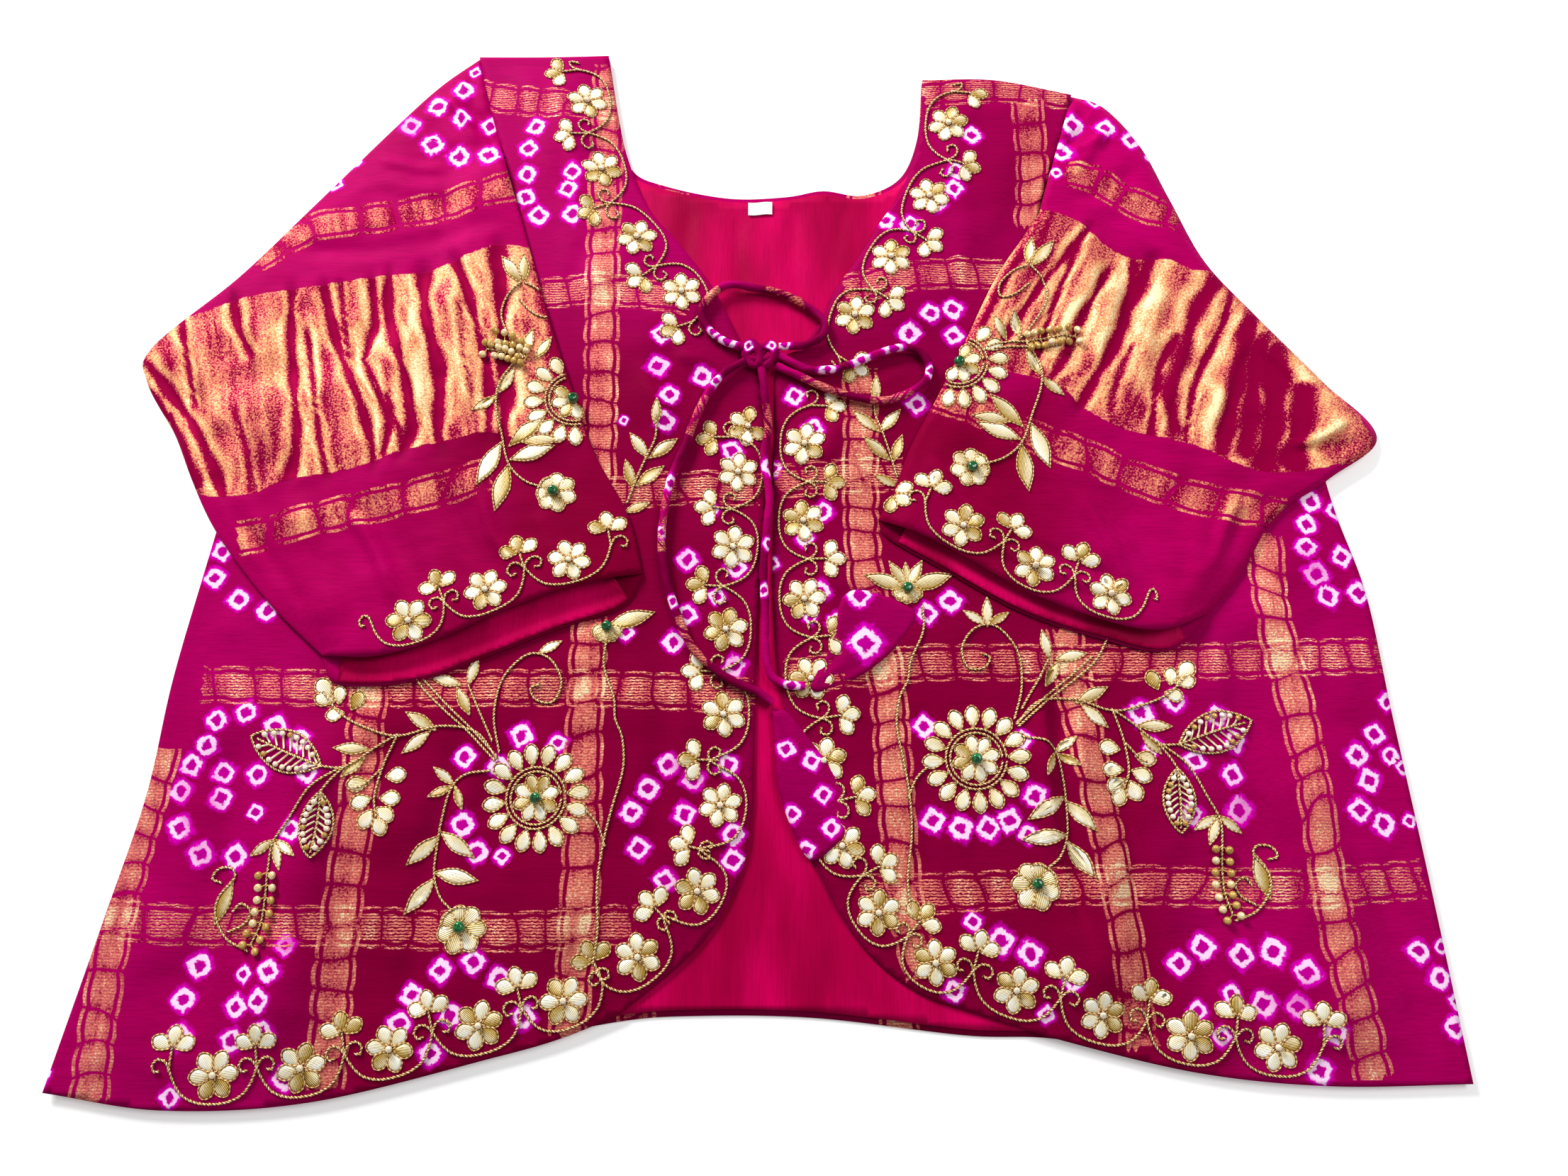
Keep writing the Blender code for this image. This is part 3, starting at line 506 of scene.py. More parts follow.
for pendant_name, shape in PENDANTS.items():
    outline = wound_left(curve_through(shape["edge"] + shape["edge"][:2], 2.0)[:-1])

    def crown(p, outline=outline, tip=shape["point"]):
        inward = edge_distance(outline, p)
        angle = np.arctan2(p[:, 1] - tip[1], p[:, 0] - tip[0])
        reach = np.linalg.norm(p - tip, axis=1)
        pleat = 0.55 * np.sin(angle * 11 + 0.5 * np.sin(reach / 14)) * np.clip(inward / 4, 0, 1) * np.clip(
            1.2 - reach / 75, 0, 1)
        wall = PENDANT_WALL * (0.5 + 0.5 * quarter_round(inward, 2.2))
        return PENDANT_FOOT + wall + pleat + 0.5 * np.clip(1 - reach / 18, 0, 1)

    def foot(p, outline=outline):
        return PENDANT_FOOT + PENDANT_WALL * 0.45 * (1 - quarter_round(edge_distance(outline, p), 2.2))

    piece = add_piece(pendant_name + "_silk", *two_faced(outline, lattice(outline, 1.9, 0.8), crown, foot),
                      tie_silk, "tie")
    paint(piece, dots=shape["dots"], dye=lambda p: 0.5)
    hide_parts(pendant_name)
    tie_pieces[pendant_name] = (piece, None)

for cord_name in TIE_ROUTES:
    piece, line = tie_pieces[cord_name]

# Knot
# The bow's knot: one cord goes over the other and is drawn tight, so its silk
# bunches into a rounded lump with two soft turns over it.
verts, faces = np.empty((0, 3)), []
for centre, reach, lean in (((-3.5, 99, 7.6), (3.6, 7.0, 2.7), 0.25), ((4.6, 98.6, 7.4), (3.4, 6.6, 2.5), -0.3),
                            ((0.6, 99.2, 7.4), (8.6, 3.4, 2.3), 0.05)):
    t = np.arange(28) * math.tau / 28
    x, y, z = reach[0] * np.cos(t), reach[1] * np.sin(t), 0.9 * np.sin(t + 1)
    c, s = math.cos(lean), math.sin(lean)
    ring = np.stack([c * x - s * y, s * x + c * y, z], 1) + centre
    turn_verts, turn_faces = tube(ring, 2.25 + 0.2 * np.sin(5 * t)[:, None], 12, closed=True)
    faces += [tuple(len(verts) + k for k in face) for face in turn_faces]
    verts = np.vstack([verts, turn_verts])
knot = add_piece("knot_silk", verts, faces, tie_silk, "tie")
paint(knot, dots=((-6, 103, 3), (7, 103, 3)), dye=lambda p: 0.35)
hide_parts("tie_knot")

# Back
# The back is one cut of the dyed silk from shoulder to hem. Little of it shows from
# above, since the fronts lie on it, but its hem and its shoulders do.
CLOTH = 0.9
BACK_FOOT = 0.1
EDGE_STEP = 3.5
R_SHOULDER = (-92, 296, -130, 295, -170, 295)
R_ARMHOLE = (-170, 295, -162, 262, -151, 225, -142, 196)
R_UNDERARM = (-142, 196, -145, 160, -160, 115, -195, 75, -245, 50, -287, 38)
R_SIDE = (-287, 38, -298, -25, -308, -86, -314, -145, -327, -205, -346, -288)
L_SHOULDER = (97, 279, 140, 279, 186, 269)
L_ARMHOLE = (186, 269, 177, 238, 169, 212, 162, 188)
L_UNDERARM = (162, 188, 162, 150, 178, 105, 215, 68, 262, 45, 309, 38)
L_SIDE = (309, 38, 315, 5, 326, -40, 332, -105, 340, -185, 349, -284)
BACK_NECK = (
    -92, 296, -84, 250, -76, 220, -55, 209, -18, 201, 15, 202, 37, 206, 60, 203, 82, 214, 93, 240, 97, 279)
BACK_HEM = (
    -346, -286, -286, -293, -214, -289, -128, -268, -70, -256, -30, -253, 30, -254, 103, -262, 150, -264,
    216, -277, 280, -283, 349, -282)


def outline_of(*edges):
    """One closed outline, counter-clockwise, from edges that meet end to end."""
    return wound_left(np.vstack([curve_through(edge, EDGE_STEP)[:-1] for edge in edges]))


def flipped(edge):
    return np.reshape(edge, (-1, 2))[::-1]


def smooth(t):
    t = np.clip(t, 0, 1)
    return t * t * (3 - 2 * t)


def relief(places, folds, taper=0.22, uneven=0.0):
    """Height of soft folds: each row is a half width and a rise, or fall, then the fold's line."""
    total = np.zeros(len(places))
    for half, rise, *route in folds:
        line = curve_through(route, 14.0)
        length = np.linalg.norm(np.diff(line, axis=0), axis=1).sum()
        near = np.linalg.norm(places - line.mean(0), axis=1) < length / 2 + 3 * half
        if near.any():
            along, away = nearest_on(line, places[near])[1:]
            wide = half * (1 + uneven * np.sin(along / 6.5 + route[0]) * np.sin(along / 17.0 + route[1]))
            total[near] += rise * smooth(1 - away / wide) * smooth(
                np.minimum(along, length - along) / (taper * length))
    return total


def slack(places, seed, size, rise):
    """Gentle uneven undulation of cloth that lies loose."""
    dice = np.random.default_rng(seed)
    total = np.zeros(len(places))
    for _ in range(9):
        angle, phase, wave = dice.uniform(0, math.pi), dice.uniform(0, 6.3), dice.uniform(0.6, 1.6) * size
        along = places[:, 0] * math.cos(angle) + places[:, 1] * math.sin(angle)
        total += np.sin(along * math.tau / wave + phase)
    return total * rise / 3


def hot_sides(places):
    """The dye runs deep in the middle and brighter towards the side seams and shoulders."""
    x, y = places.T
    side = np.clip((np.abs(x) - 185) / 60, 0, 1)
    shoulder = np.clip((y - 60) / 90, 0, 1) * (0.95 - x / 500)
    centre = np.clip(1 - np.abs(x) / 75, 0, 1) * 0.4
    return 0.08 + 0.5 * np.maximum(np.maximum(side, shoulder), centre)


back_outline = outline_of(R_SHOULDER, R_ARMHOLE, R_UNDERARM, R_SIDE[:-2] + BACK_HEM[:2], BACK_HEM,
                          flipped(L_SIDE[:-2] + BACK_HEM[-2:]), flipped(L_UNDERARM), flipped(L_ARMHOLE),
                          flipped(L_SHOULDER), flipped(BACK_NECK))
silk = bandhani_silk("bandhani silk", (0.21, 0.0, 0.03), (0.46, 0.0, 0.125), 0.0)
wall = two_faced(back_outline, lattice(back_outline, 7.0, 4.0), level(BACK_FOOT + CLOTH), level(BACK_FOOT))
back = add_piece("back_silk", *wall, silk, "silk")
paint(back, dye=hot_sides,
      columns=[(x, 290, x * 1.04, 100, x * 1.12, -100, x * 1.2, -290) for x in (-270, -160, -50, 60, 170, 275)],
      rows=[(-345, y - 6, 0, y, 345, y - 4) for y in (262, 138, 14, -110, -232)])
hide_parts("back")

# Lining of the back
# A plain crimson satin, cut as the back and felled to it just inside the neck and
# the hem, with soft creases that run up and down.
LINING_TOP = 2.45
LINING_WALL = 0.8
HEM_WIDTH = 5.0
LINING_FOLDS = (
    (7, -0.5, -40, 200, -44, 165, -38, 135), (6, -0.45, -12, 196, -14, 160, -8, 128),
    (7, -0.5, 22, 200, 18, 165, 24, 130), (6, -0.4, 50, 200, 42, 165, 36, 140),
    (6, -0.5, 5, 60, 6, 0, 4, -60), (6, -0.45, 10, -70, 12, -130, 8, -190),
    (8, -0.5, -5, -150, 2, -200, -4, -250), (7, -0.4, 35, -190, 40, -215, 38, -250))
lining_satin, tree, shader = new_finish("crimson lining")
warp = speckle(tree, 1.1, 3.0, (1.5, 0.07, 1))
fallen = speckle(tree, 55.0, 3.0, (1.4, 0.4, 1))
satin = fallen.fade(0.3, 0.72).mix((0.31, 0.0, 0.035), (0.66, 0.0, 0.1))
feed(tree, shader, {"Base Color": (warp.fade(0.4, 0.7) * 0.28).mix(satin, (0.2, 0.0, 0.03)), "Roughness": 0.42,
                    "Specular IOR Level": 0.15, "Specular Tint": (1.0, 0.08, 0.25, 1.0),
                    "Normal": warp.bump(0.3, 0.0002)})


def felled(inward, width, rise, fall):
    """A turned edge: a flat fold with its stitches sunk at the inner side."""
    return np.where(inward < width, rise, 0.0) - fall * np.exp(-((inward - width - 0.5) / 0.9) ** 2)


def lining_top(p):
    hem = felled(edge_distance(lining_outline, p), HEM_WIDTH, 0.18, 0.25)
    return LINING_TOP + 1.7 * relief(p, LINING_FOLDS) + hem + slack(p, 3, 60, 0.12)


step = unit(np.roll(back_outline, -1, 0) - np.roll(back_outline, 1, 0))
lining_outline = back_outline + np.stack([-step[:, 1], step[:, 0]], 1) * 3.0
wall = two_faced(lining_outline, lattice(lining_outline, 4.5, 2.0), lining_top, level(LINING_TOP - LINING_WALL))
lining = add_piece("back_lining_satin", *wall, lining_satin, "lining")
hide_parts("back_lining")

# Size label
# A bit of white woven tape at the middle of the back neck, caught under the felled
# edge and left without any writing.
LABEL_AT, LABEL_WIDE, LABEL_TALL = (0, 193), 14, 8
bpy.ops.object.select_all(action="DESELECT")
bpy.ops.mesh.primitive_grid_add(x_subdivisions=14, y_subdivisions=8, size=1, location=(0, 0, 0))
tape = bpy.context.object
tape.name = "size_label_tape"
for vert in tape.data.vertices:
    x, y = vert.co.x * LABEL_WIDE, vert.co.y * LABEL_TALL
    vert.co = ((LABEL_AT[0] + x) * MM, (LABEL_AT[1] + y + 0.3 * math.sin(x / 3)) * MM,
               (3.15 + 0.12 * math.sin(x / 2.2) + 0.02 * y) * MM)
bpy.ops.object.mode_set(mode="EDIT")
bpy.ops.mesh.select_all(action="SELECT")
bpy.ops.mesh.extrude_region_move(TRANSFORM_OT_translate={"value": (0, 0, 0.3 * MM)})
bpy.ops.mesh.select_all(action="SELECT")
bpy.ops.mesh.normals_make_consistent(inside=False)
bpy.ops.object.mode_set(mode="OBJECT")
label_tape, tree, shader = new_finish("white woven tape")
ribs = stripes(tree, add_node(tree, "TexCoord", {}, "Object"), 500.0, Distortion=0.6)
feed(tree, shader, {"Base Color": ribs.mix((0.78, 0.76, 0.72), (0.9, 0.89, 0.86)), "Roughness": 0.8,
                    "Normal": ribs.bump(0.3, 0.0002)})
tape.data.materials.append(label_tape)
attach(tape, "root")
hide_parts("size_label")

# Fronts
# Each front is one cut of the same silk with a rounded lower corner. It is faced
# with its own lining, so it reads as one soft wall, and lies over the back.
FRONT_TOP = 4.0
SEAM_WIDTH = 4.5
R_HEM = (-346, -288, -286, -296, -214, -292, -128, -272, -95, -263, -67, -252)
R_CORNER = (-67, -252, -38, -229, -20, -209, -7, -182, -2, -150)
R_OPENING = (-2, -150, -1, -95, 0, -45, 4, 0, 5, 45, 0, 90)
R_TIE_END = (0, 90, -4, 100, -11, 109)
R_NECK = (-11, 109, -27, 142, -46, 169, -65, 193, -78, 225, -85, 255, -92, 296)
L_HEM = (349, -284, 280, -285, 216, -279, 150, -264, 110, -252)
L_CORNER = (110, -252, 83, -243, 60, -227, 43, -206, 28, -178)
L_OPENING = (28, -178, 18, -130, 11, -80, 8, -35, 8, 20, 9, 60, 9, 88)
L_TIE_END = (9, 88, 12, 98, 24, 104)
L_NECK = (24, 104, 35, 121, 43, 140, 58, 163, 70, 184, 82, 203, 93, 235, 97, 279)
# A row of dots is their half width, then their places
RIGHT_FRONT = {
    "edges": (R_SHOULDER, R_ARMHOLE, R_UNDERARM, R_SIDE, R_HEM, R_CORNER, R_OPENING, R_TIE_END, R_NECK),
    "under_sleeve": (
        (-170, 295, -145, 205, -132, 163, -103, 75, -62, -28), (-62, -28, -145, -74, -220, -88),
        (-220, -88, -262, -43, -322, 48, -350, 90), (-350, 90, -300, 300, -170, 295)),
    "folds": (
        (26, 1.7, -240, -285, -229, -200, -222, -100), (22, 1.2, -88, -240, -100, -165, -110, -95),
        (12, -0.7, -150, -95, -165, -180, -175, -275), (13, -0.6, -60, -30, -48, -110, -60, -200),
        (8, -0.8, -160, 290, -152, 255, -140, 225), (10, -0.5, -100, 180, -112, 110, -112, 40),
        (11, 0.9, -72, 100, -52, 60, -42, 10), (8, -0.6, -35, 84, -20, 60, -12, 20),
        (10, -0.5, -300, -90, -315, -180, -330, -280), (7, 0.8, -50, 100, -30, 96, -10, 92),
        (12, -0.5, -268, -100, -272, -180, -280, -270), (9, 0.5, -125, 285, -112, 235, -100, 190)),
    "columns": (
        (-91, 290, -90, 150, -88, 40, -90, -100, -88, -185, -92, -262),
        (-204, -88, -204, -150, -208, -220, -209, -288), (-308, -120, -318, -185, -322, -230, -323, -292)),
    "rows": (
        (-175, 271, -130, 262, -88, 262), (-125, 138, -90, 140, -40, 134), (-82, 17, -40, 21, 2, 20),
        (-292, -88, -203, -90, -91, -90, -2, -94),
        (-328, -206, -280, -210, -208, -210, -130, -213, -60, -209)),
    "dots": (
        (3, -75, 60), (4, -25, 8), (4.5, -256, -154, -129, -176, -253, -233),
        (5, -103, -119, -232, -219, -284, -290, -348, -280, -70, -60, -22, -40),
        (6, -133, 246, -137, 232, -137, 215, -137, 200, -110, 215, -112, 204, -55, 112, -32, 87, -50, 75,
         -52, 59, -15, 43, -38, -20, -12, -24, -38, -50, -45, -65, -12, -78, -46, -130, -56, -142, -64, -154,
         -60, -172, -37, -155, -33, -137, -46, -188, -15, -130, -12, -165, -12, -178, -290, -15, -292, -30,
         -278, -42, -262, -48, -281, -107, -266, -103, -250, -110, -237, -117, -285, -120, -292, -130,
         -275, -134, -257, -135, -230, -134, -296, -143, -275, -147, -236, -163, -151, -126, -133, -131,
         -142, -174, -283, -245, -239, -231, -255, -248, -243, -245, -282, -262, -256, -264, -240, -260,
         -229, -281, -170, -243, -175, -256, -156, -231, -140, -227, -127, -235, -114, -253, -150, -252,
         -159, -270),
        (6.5, -129, 188, -109, 188, -57, 93, -294, -162, -282, -175, -264, -176, -122, -115, -150, -160,
         -277, -229)),
}
LEFT_FRONT = {
    "edges": (L_SHOULDER, L_ARMHOLE, L_UNDERARM, L_SIDE, L_HEM, L_CORNER, L_OPENING, L_TIE_END, L_NECK),
    "under_sleeve": (
        (186, 269, 162, 188, 134, 145, 99, 73, 65, 2), (65, 2, 140, -49, 217, -70),
        (217, -70, 281, 4, 350, 51), (350, 51, 300, 290, 186, 269)),
    "folds": (
        (26, 2.0, 176, -260, 166, -180, 150, -95), (28, 1.4, 296, -275, 284, -200, 268, -110),
        (9, -2.0, 156, -52, 158, -92, 157, -125, 160, -162, 164, -205, 172, -235),
        (8, -1.1, 182, -120, 192, -170, 198, -210, 203, -256),
        (6, 0.8, 147, -60, 148, -100, 147, -140, 151, -180), (12, -0.9, 205, -280, 196, -230, 190, -175),
        (16, -0.8, 258, -45, 255, -120, 262, -190), (12, -0.6, 312, -180, 322, -230, 335, -282),
        (8, -0.9, 100, 90, 88, 55, 75, 20), (9, 0.7, 60, 84, 45, 60, 32, 30),
        (12, -0.6, 45, -30, 60, -90, 70, -150), (7, -0.8, 172, 262, 165, 225, 160, 195),
        (12, 0.5, 110, 240, 118, 180, 110, 130), (13, 0.7, 95, -240, 105, -200, 95, -150),
        (8, -0.5, 22, -60, 30, -110, 40, -160), (9, 0.6, 240, -270, 232, -235, 230, -205)),
    "columns": (
        (57, 92, 56, 0, 60, -45, 68, -85, 71, -140, 75, -200, 84, -235), (159, 265, 160, 215, 157, 180),
        (163, -58, 168, -100, 174, -140, 184, -210, 188, -268),
        (275, -5, 274, -50, 283, -110, 287, -190, 292, -230, 301, -282)),
    "rows": (
        (97, 268, 140, 273, 185, 268), (48, 140, 100, 150, 140, 150), (10, 25, 40, 27, 80, 29),
        (14, -84, 70, -78, 120, -76, 220, -76, 330, -72),
        (52, -194, 90, -194, 180, -190, 270, -192, 338, -187)),
    "dots": (
        (4, 334, -131, 334, -158, 342, -220, 28, -52, 8, -22), (4.5, 143, -252),
        (5, 138, -165, 137, -117, 205, -120, 330, -97, 328, -125, 217, -250, 234, -242, 228, -262, 255, -270,
         347, -246, 108, -208, 170, -250, 25, -8, 8, 32), (5.5, 98, -241, 156, -236),
        (6, 125, 240, 115, 215, 113, 204, 103, 195, 73, 185, 87, 182, 97, 125, 110, 112, 88, 70, 35, 7,
         30, 55, 33, -38, 42, -55, 87, -110, 142, -146, 90, -50, 218, -97, 240, -105, 248, -118, 245, -135,
         226, -128, 222, -155, 302, 13, 315, 8, 298, 0, 296, -13, 315, -18, 321, -114, 210, -228, 266, -248,
         283, -260, 330, -222, 339, -235, 344, -258, 20, 75),
        (6.5, 85, 113, 110, 128, 90, -158, 104, -162, 118, -162, 129, -158, 103, -43, 136, -223, 305, -40,
         322, -38, 310, -125, 315, -138, 308, -153, 320, -160, 222, -220, 241, -224, 272, -232, 250, -247,
         275, -278), (7, 122, -217, 200, -103, 247, -153, 300, -28, 257, -222)),
}


def dots_of(rows):
    return [(x, y, half) for half, *places in rows for x, y in np.reshape(places, (-1, 2))]


surface_of = {}
cords_over = [line[::9, :2] for _, line in tie_pieces.values() if line is not None]
for side, front in (("right_front", RIGHT_FRONT), ("left_front", LEFT_FRONT)):
    outline = outline_of(*front["edges"])
    covered = np.vstack([curve_through(edge, 9.0)[:-1] for edge in front["under_sleeve"]])

    def top(p, outline=outline, front=front, covered=covered, seed=len(surface_of)):
        """The front lies flat under the sleeve, the cords and at its edge, and lifts in folds elsewhere."""
        inward = edge_distance(outline, p)
        seam = felled(inward, SEAM_WIDTH, 0.15, 0.22)
        free = np.where(inside_of(covered, p), 0.0, smooth((edge_distance(covered, p) - 6) / 22))
        free *= smooth(inward / 26)
        for line in cords_over:
            free *= smooth((edge_distance(line, p) - 5) / 16)
        lift = (1.9 + 3.3 * relief(p, front["folds"]) + slack(p, 11 + seed, 60, 0.9)
                + slack(p, 31 + seed, 24, 0.28))
        return FRONT_TOP + seam * np.maximum(smooth(inward / 18), 0.4) + np.maximum(free * lift, -1.0)

    piece = add_piece(side + "_silk", *two_faced(outline, lattice(outline, 3.6, 1.6), top,
                                                 lambda p, top=top: top(p) - CLOTH), silk, "silk")
    paint(piece, dots=dots_of(front["dots"]), columns=front["columns"], rows=front["rows"], dye=hot_sides)
    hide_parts(side)
    surface_of[side] = (outline, top)

# Sleeves
# Wide elbow sleeves, each cut flat with a gold tissue band across it, closed by one
# underarm seam and set in flat, so the cloth pinches into lengthwise folds.
ON_FRONT = 4.35
WALL = 1.2
SLEEVE_FOOT = 0.08
SLEEVE_HOLLOW, MOUTH_HOLLOW, MOUTH_DEPTH = 1.6, 5.5, 60.0
FOLD_TURN = 2.6
RIGHT_SLEEVE = {
    "top_fold": (
        -170.3, 295.3, -193, 276, -218, 248, -262, 195, -300, 150, -344.5, 106, -344.5, 84, -322, 48,
        -296, -1, -262, -43, -230, -73),
    "under_fold": (-62, -28, -71, 5, -90, 40, -103, 75, -116, 112, -132, 163, -142, 196),
    "upper_mouth": (-230, -73, -200, -74, -165, -64, -135, -50, -100, -37, -62, -28),
    "lower_mouth": (-230, -73, -220, -88, -178, -86, -145, -74, -105, -58, -72, -46, -62, -28),
    "armhole": (-142, 196, -151, 225, -162, 262, -170, 295),
    "body": (
        R_UNDERARM, (-287, 38, -298, -25, -308, -86), (-308, -86, -150, -130), (-150, -130, -30, -60),
        (-30, -60, -70, 60), (-70, 60, -128, 180), (-128, 180, -142, 196)),
    "tissue_top": (
        -350, 122, -322, 126, -297, 136, -270, 141, -240, 146, -215, 150, -190, 153, -165, 162, -150, 168,
        -125, 165),
    "tissue_foot": (
        -350, 40, -310, 18, -288, 14, -270, 18, -258, 24, -235, 28, -215, 33, -200, 40, -180, 45, -165, 48,
        -150, 52, -120, 45, -95, 50),
    "lean": 0.22,
    "bands": (
        (-292, 160, -262, 180, -220, 187, -180, 195, -143, 206),
        (-281, -9, -262, -5, -240, 2, -215, 8, -195, 13, -170, 20, -146, 28)),
    "pinches": (
        (3, 1.0, -331, 124, -326, 108, -317, 75), (4, 1.0, -301, 136, -297, 118, -289, 104),
        (4.5, 1.0, -268, 142, -266, 110, -258, 70, -254, 40, -258, 24),
        (4, 1.0, -250, 144, -241, 112, -230, 88, -221, 68, -213, 45, -211, 30),
        (3, 0.9, -256, 112, -248, 78, -243, 52, -236, 26),
        (4, 1.0, -223, 147, -219, 120, -222, 96, -213, 78, -204, 60, -207, 40),
        (5, 1.0, -213, 152, -212, 126, -203, 100, -195, 75, -191, 55, -198, 38),
        (6, 1.1, -194, 155, -190, 125, -181, 96, -178, 75, -177, 50, -174, 40),
        (4.5, 1.0, -176, 160, -165, 135, -158, 110, -153, 95, -150, 70, -149, 48),
        (7, 1.2, -151, 168, -147, 135, -144, 100, -140, 66, -142, 45),
        (4.5, 1.0, -346, 96, -326, 72, -306, 46, -292, 16), (4, 1.0, -343, 78, -325, 57, -308, 26),
        (2.2, 0.8, -240, 140, -236, 118, -232, 100), (2.5, 0.7, -205, 70, -198, 52, -196, 42),
        (4, 0.5, -290, 62, -281, 40, -277, 20), (2.5, 0.5, -170, 128, -166, 100, -160, 78),
        (9, 0.6, -126, 168, -120, 130, -108, 80)),
    "folds": (
        (9, 0.9, -320, 112, -308, 82, -296, 50), (9, 1.0, -284, 128, -277, 80, -271, 36),
        (6, 0.8, -258, 132, -250, 95, -246, 60), (6, 0.8, -230, 138, -228, 108, -210, 66),
        (7, 1.0, -203, 142, -196, 110, -186, 60), (7, 0.9, -178, 148, -170, 110, -160, 56),
        (12, -0.9, -215, 20, -190, -20, -165, -52), (10, -0.8, -180, 30, -160, -5, -130, -36),
        (14, 0.9, -250, 20, -242, -20, -215, -60), (9, 0.7, -120, 8, -112, -12, -95, -30),
        (9, -0.6, -282, 170, -240, 165, -190, 172, -150, 185), (5, -0.8, -176, 285, -172, 262, -165, 240),
        (6, 0.8, -188, 275, -178, 255, -166, 232), (4, -0.7, -166, 262, -160, 240, -152, 220),
        (7, -0.5, -200, 255, -186, 235, -165, 215), (3.2, 0.9, -183, 282, -176, 270, -167, 254),
        (2.6, 0.8, -172, 288, -167, 274, -162, 258), (3.4, 0.7, -190, 268, -180, 256, -165, 244),
        (7, 1.1, -225, 10, -205, -15, -190, -50), (6, 0.9, -152, 20, -142, -8, -120, -30),
        (6, 0.9, -300, 20, -280, -12, -262, -30), (6, 0.6, -240, 235, -215, 222, -180, 218),
        (8, -0.8, -330, 60, -312, 30, -292, 0), (8, -0.7, -285, 10, -262, -22, -235, -55),
        (9, 0.4, -230, 215, -195, 205, -160, 210)),
    "dots": (
        (4, -172, 285), (5, -240, 225, -250, 210), (6, -178, 252, -161, 248),
        (6.5, -178, 272, -193, 261, -208, 248), (7, -194, 235, -178, 227, -160, 227)),
}
LEFT_SLEEVE = {
    "top_fold": (
        186.3, 269.3, 205, 262, 225, 236, 240, 200, 257, 160, 283, 126, 318, 84, 343, 51, 313, 26, 281, 4,
        260, -27, 240, -50),
    "under_fold": (65, 2, 75, 22, 84, 45, 99, 73, 115, 105, 134, 145, 150, 170, 162, 188),
    "upper_mouth": (240, -50, 212, -60, 180, -54, 140, -38, 100, -14, 65, 2),
    "lower_mouth": (240, -50, 217, -70, 180, -63, 140, -49, 100, -26, 70, -8, 65, 2),
    "armhole": (162, 188, 169, 212, 177, 238, 186, 269),
    "body": (
        L_UNDERARM, (309, 38, 315, 5, 326, -40), (326, -40, 150, -130), (150, -130, 30, -20),
        (30, -20, 70, 60), (70, 60, 148, 172), (148, 172, 162, 188)),
    "tissue_top": (
        140, 178, 157, 190, 170, 189, 186, 181, 200, 168, 217, 161, 235, 161, 250, 154, 270, 152, 300, 130),
    "tissue_foot": (
        80, 100, 105, 90, 135, 88, 165, 80, 180, 66, 200, 54, 225, 48, 245, 42, 262, 33, 290, 28, 345, 40),
    "lean": -0.42,
    "bands": (
        (178, 214, 195, 212, 212, 200, 228, 192, 245, 187),
        (98, 74, 130, 62, 150, 50, 180, 38, 200, 28, 225, 18, 240, 13, 268, 8, 287, 4)),
    "pinches": (
        (3.5, 1.0, 190, 178, 178, 163, 164, 146, 150, 126, 138, 108),
        (3, 0.9, 184, 168, 176, 150, 168, 132, 160, 110, 153, 88),
        (4.5, 1.0, 200, 152, 190, 135, 180, 118, 171, 97, 164, 86),
        (5, 1.1, 216, 158, 212, 138, 204, 113, 194, 94, 184, 78, 177, 66),
        (7, 1.1, 226, 161, 216, 140, 207, 120), (3.5, 0.9, 236, 110, 225, 94, 220, 75, 217, 54),
        (9, 1.2, 263, 148, 250, 130, 243, 113, 236, 95, 228, 78, 230, 54),
        (3, 1.0, 270, 138, 262, 115, 250, 95, 242, 78, 236, 52),
        (11, 1.3, 280, 122, 272, 100, 264, 75, 255, 42), (10, 1.3, 285, 110, 279, 90, 274, 68, 267, 40),
        (13, 1.3, 292, 104, 290, 85, 286, 65, 278, 34), (14, 1.3, 305, 78, 302, 62, 292, 36),
        (5, 0.7, 150, 160, 140, 146, 128, 122), (3, 0.6, 208, 100, 200, 84, 196, 70)),
    "folds": (
        (7, 0.9, 196, 160, 180, 130, 166, 95), (7, 1.0, 208, 150, 196, 120, 186, 88),
        (9, 1.1, 232, 148, 222, 120, 205, 70), (7, 0.9, 246, 120, 236, 95, 222, 60),
        (8, 1.0, 278, 118, 262, 85, 246, 48), (8, 0.8, 320, 76, 300, 92, 278, 120),
        (12, -0.9, 110, 50, 130, 20, 150, -15), (11, 0.8, 160, 40, 175, 5, 190, -30),
        (12, -0.9, 190, 25, 205, -10, 215, -45), (6, -0.7, 130, -5, 165, -22, 200, -38),
        (5, 0.7, 120, -10, 160, -30, 205, -46), (9, 0.8, 232, 10, 238, -12, 232, -38),
        (6, -0.9, 305, 48, 320, 42, 335, 48), (5, -0.8, 196, 262, 190, 245, 176, 225),
        (6, 0.8, 206, 250, 196, 232, 180, 212), (4, -0.6, 190, 250, 182, 236, 172, 222),
        (8, -0.5, 225, 225, 205, 205, 175, 195), (3.4, 0.9, 200, 262, 192, 250, 180, 240),
        (2.8, 0.8, 190, 264, 184, 254, 178, 246), (3.6, 0.7, 212, 250, 200, 238, 182, 228),
        (7, 1.0, 170, 20, 188, -10, 196, -42), (6, 0.9, 90, 40, 112, 10, 130, -18),
        (6, 0.9, 262, 20, 250, -5, 240, -30), (4, 1.2, 328, 62, 312, 50, 292, 44),
        (3.5, -1.0, 322, 46, 306, 42, 290, 40), (7, -0.6, 285, 18, 262, 0, 250, -25)),
    "dots": (
        (3, 230, 228), (4, 173, 214), (5, 200, 266), (6, 220, 239), (6.5, 205, 246), (7, 185, 248, 178, 230)),
}
SLEEVES = {"right_sleeve": RIGHT_SLEEVE, "left_sleeve": LEFT_SLEEVE}
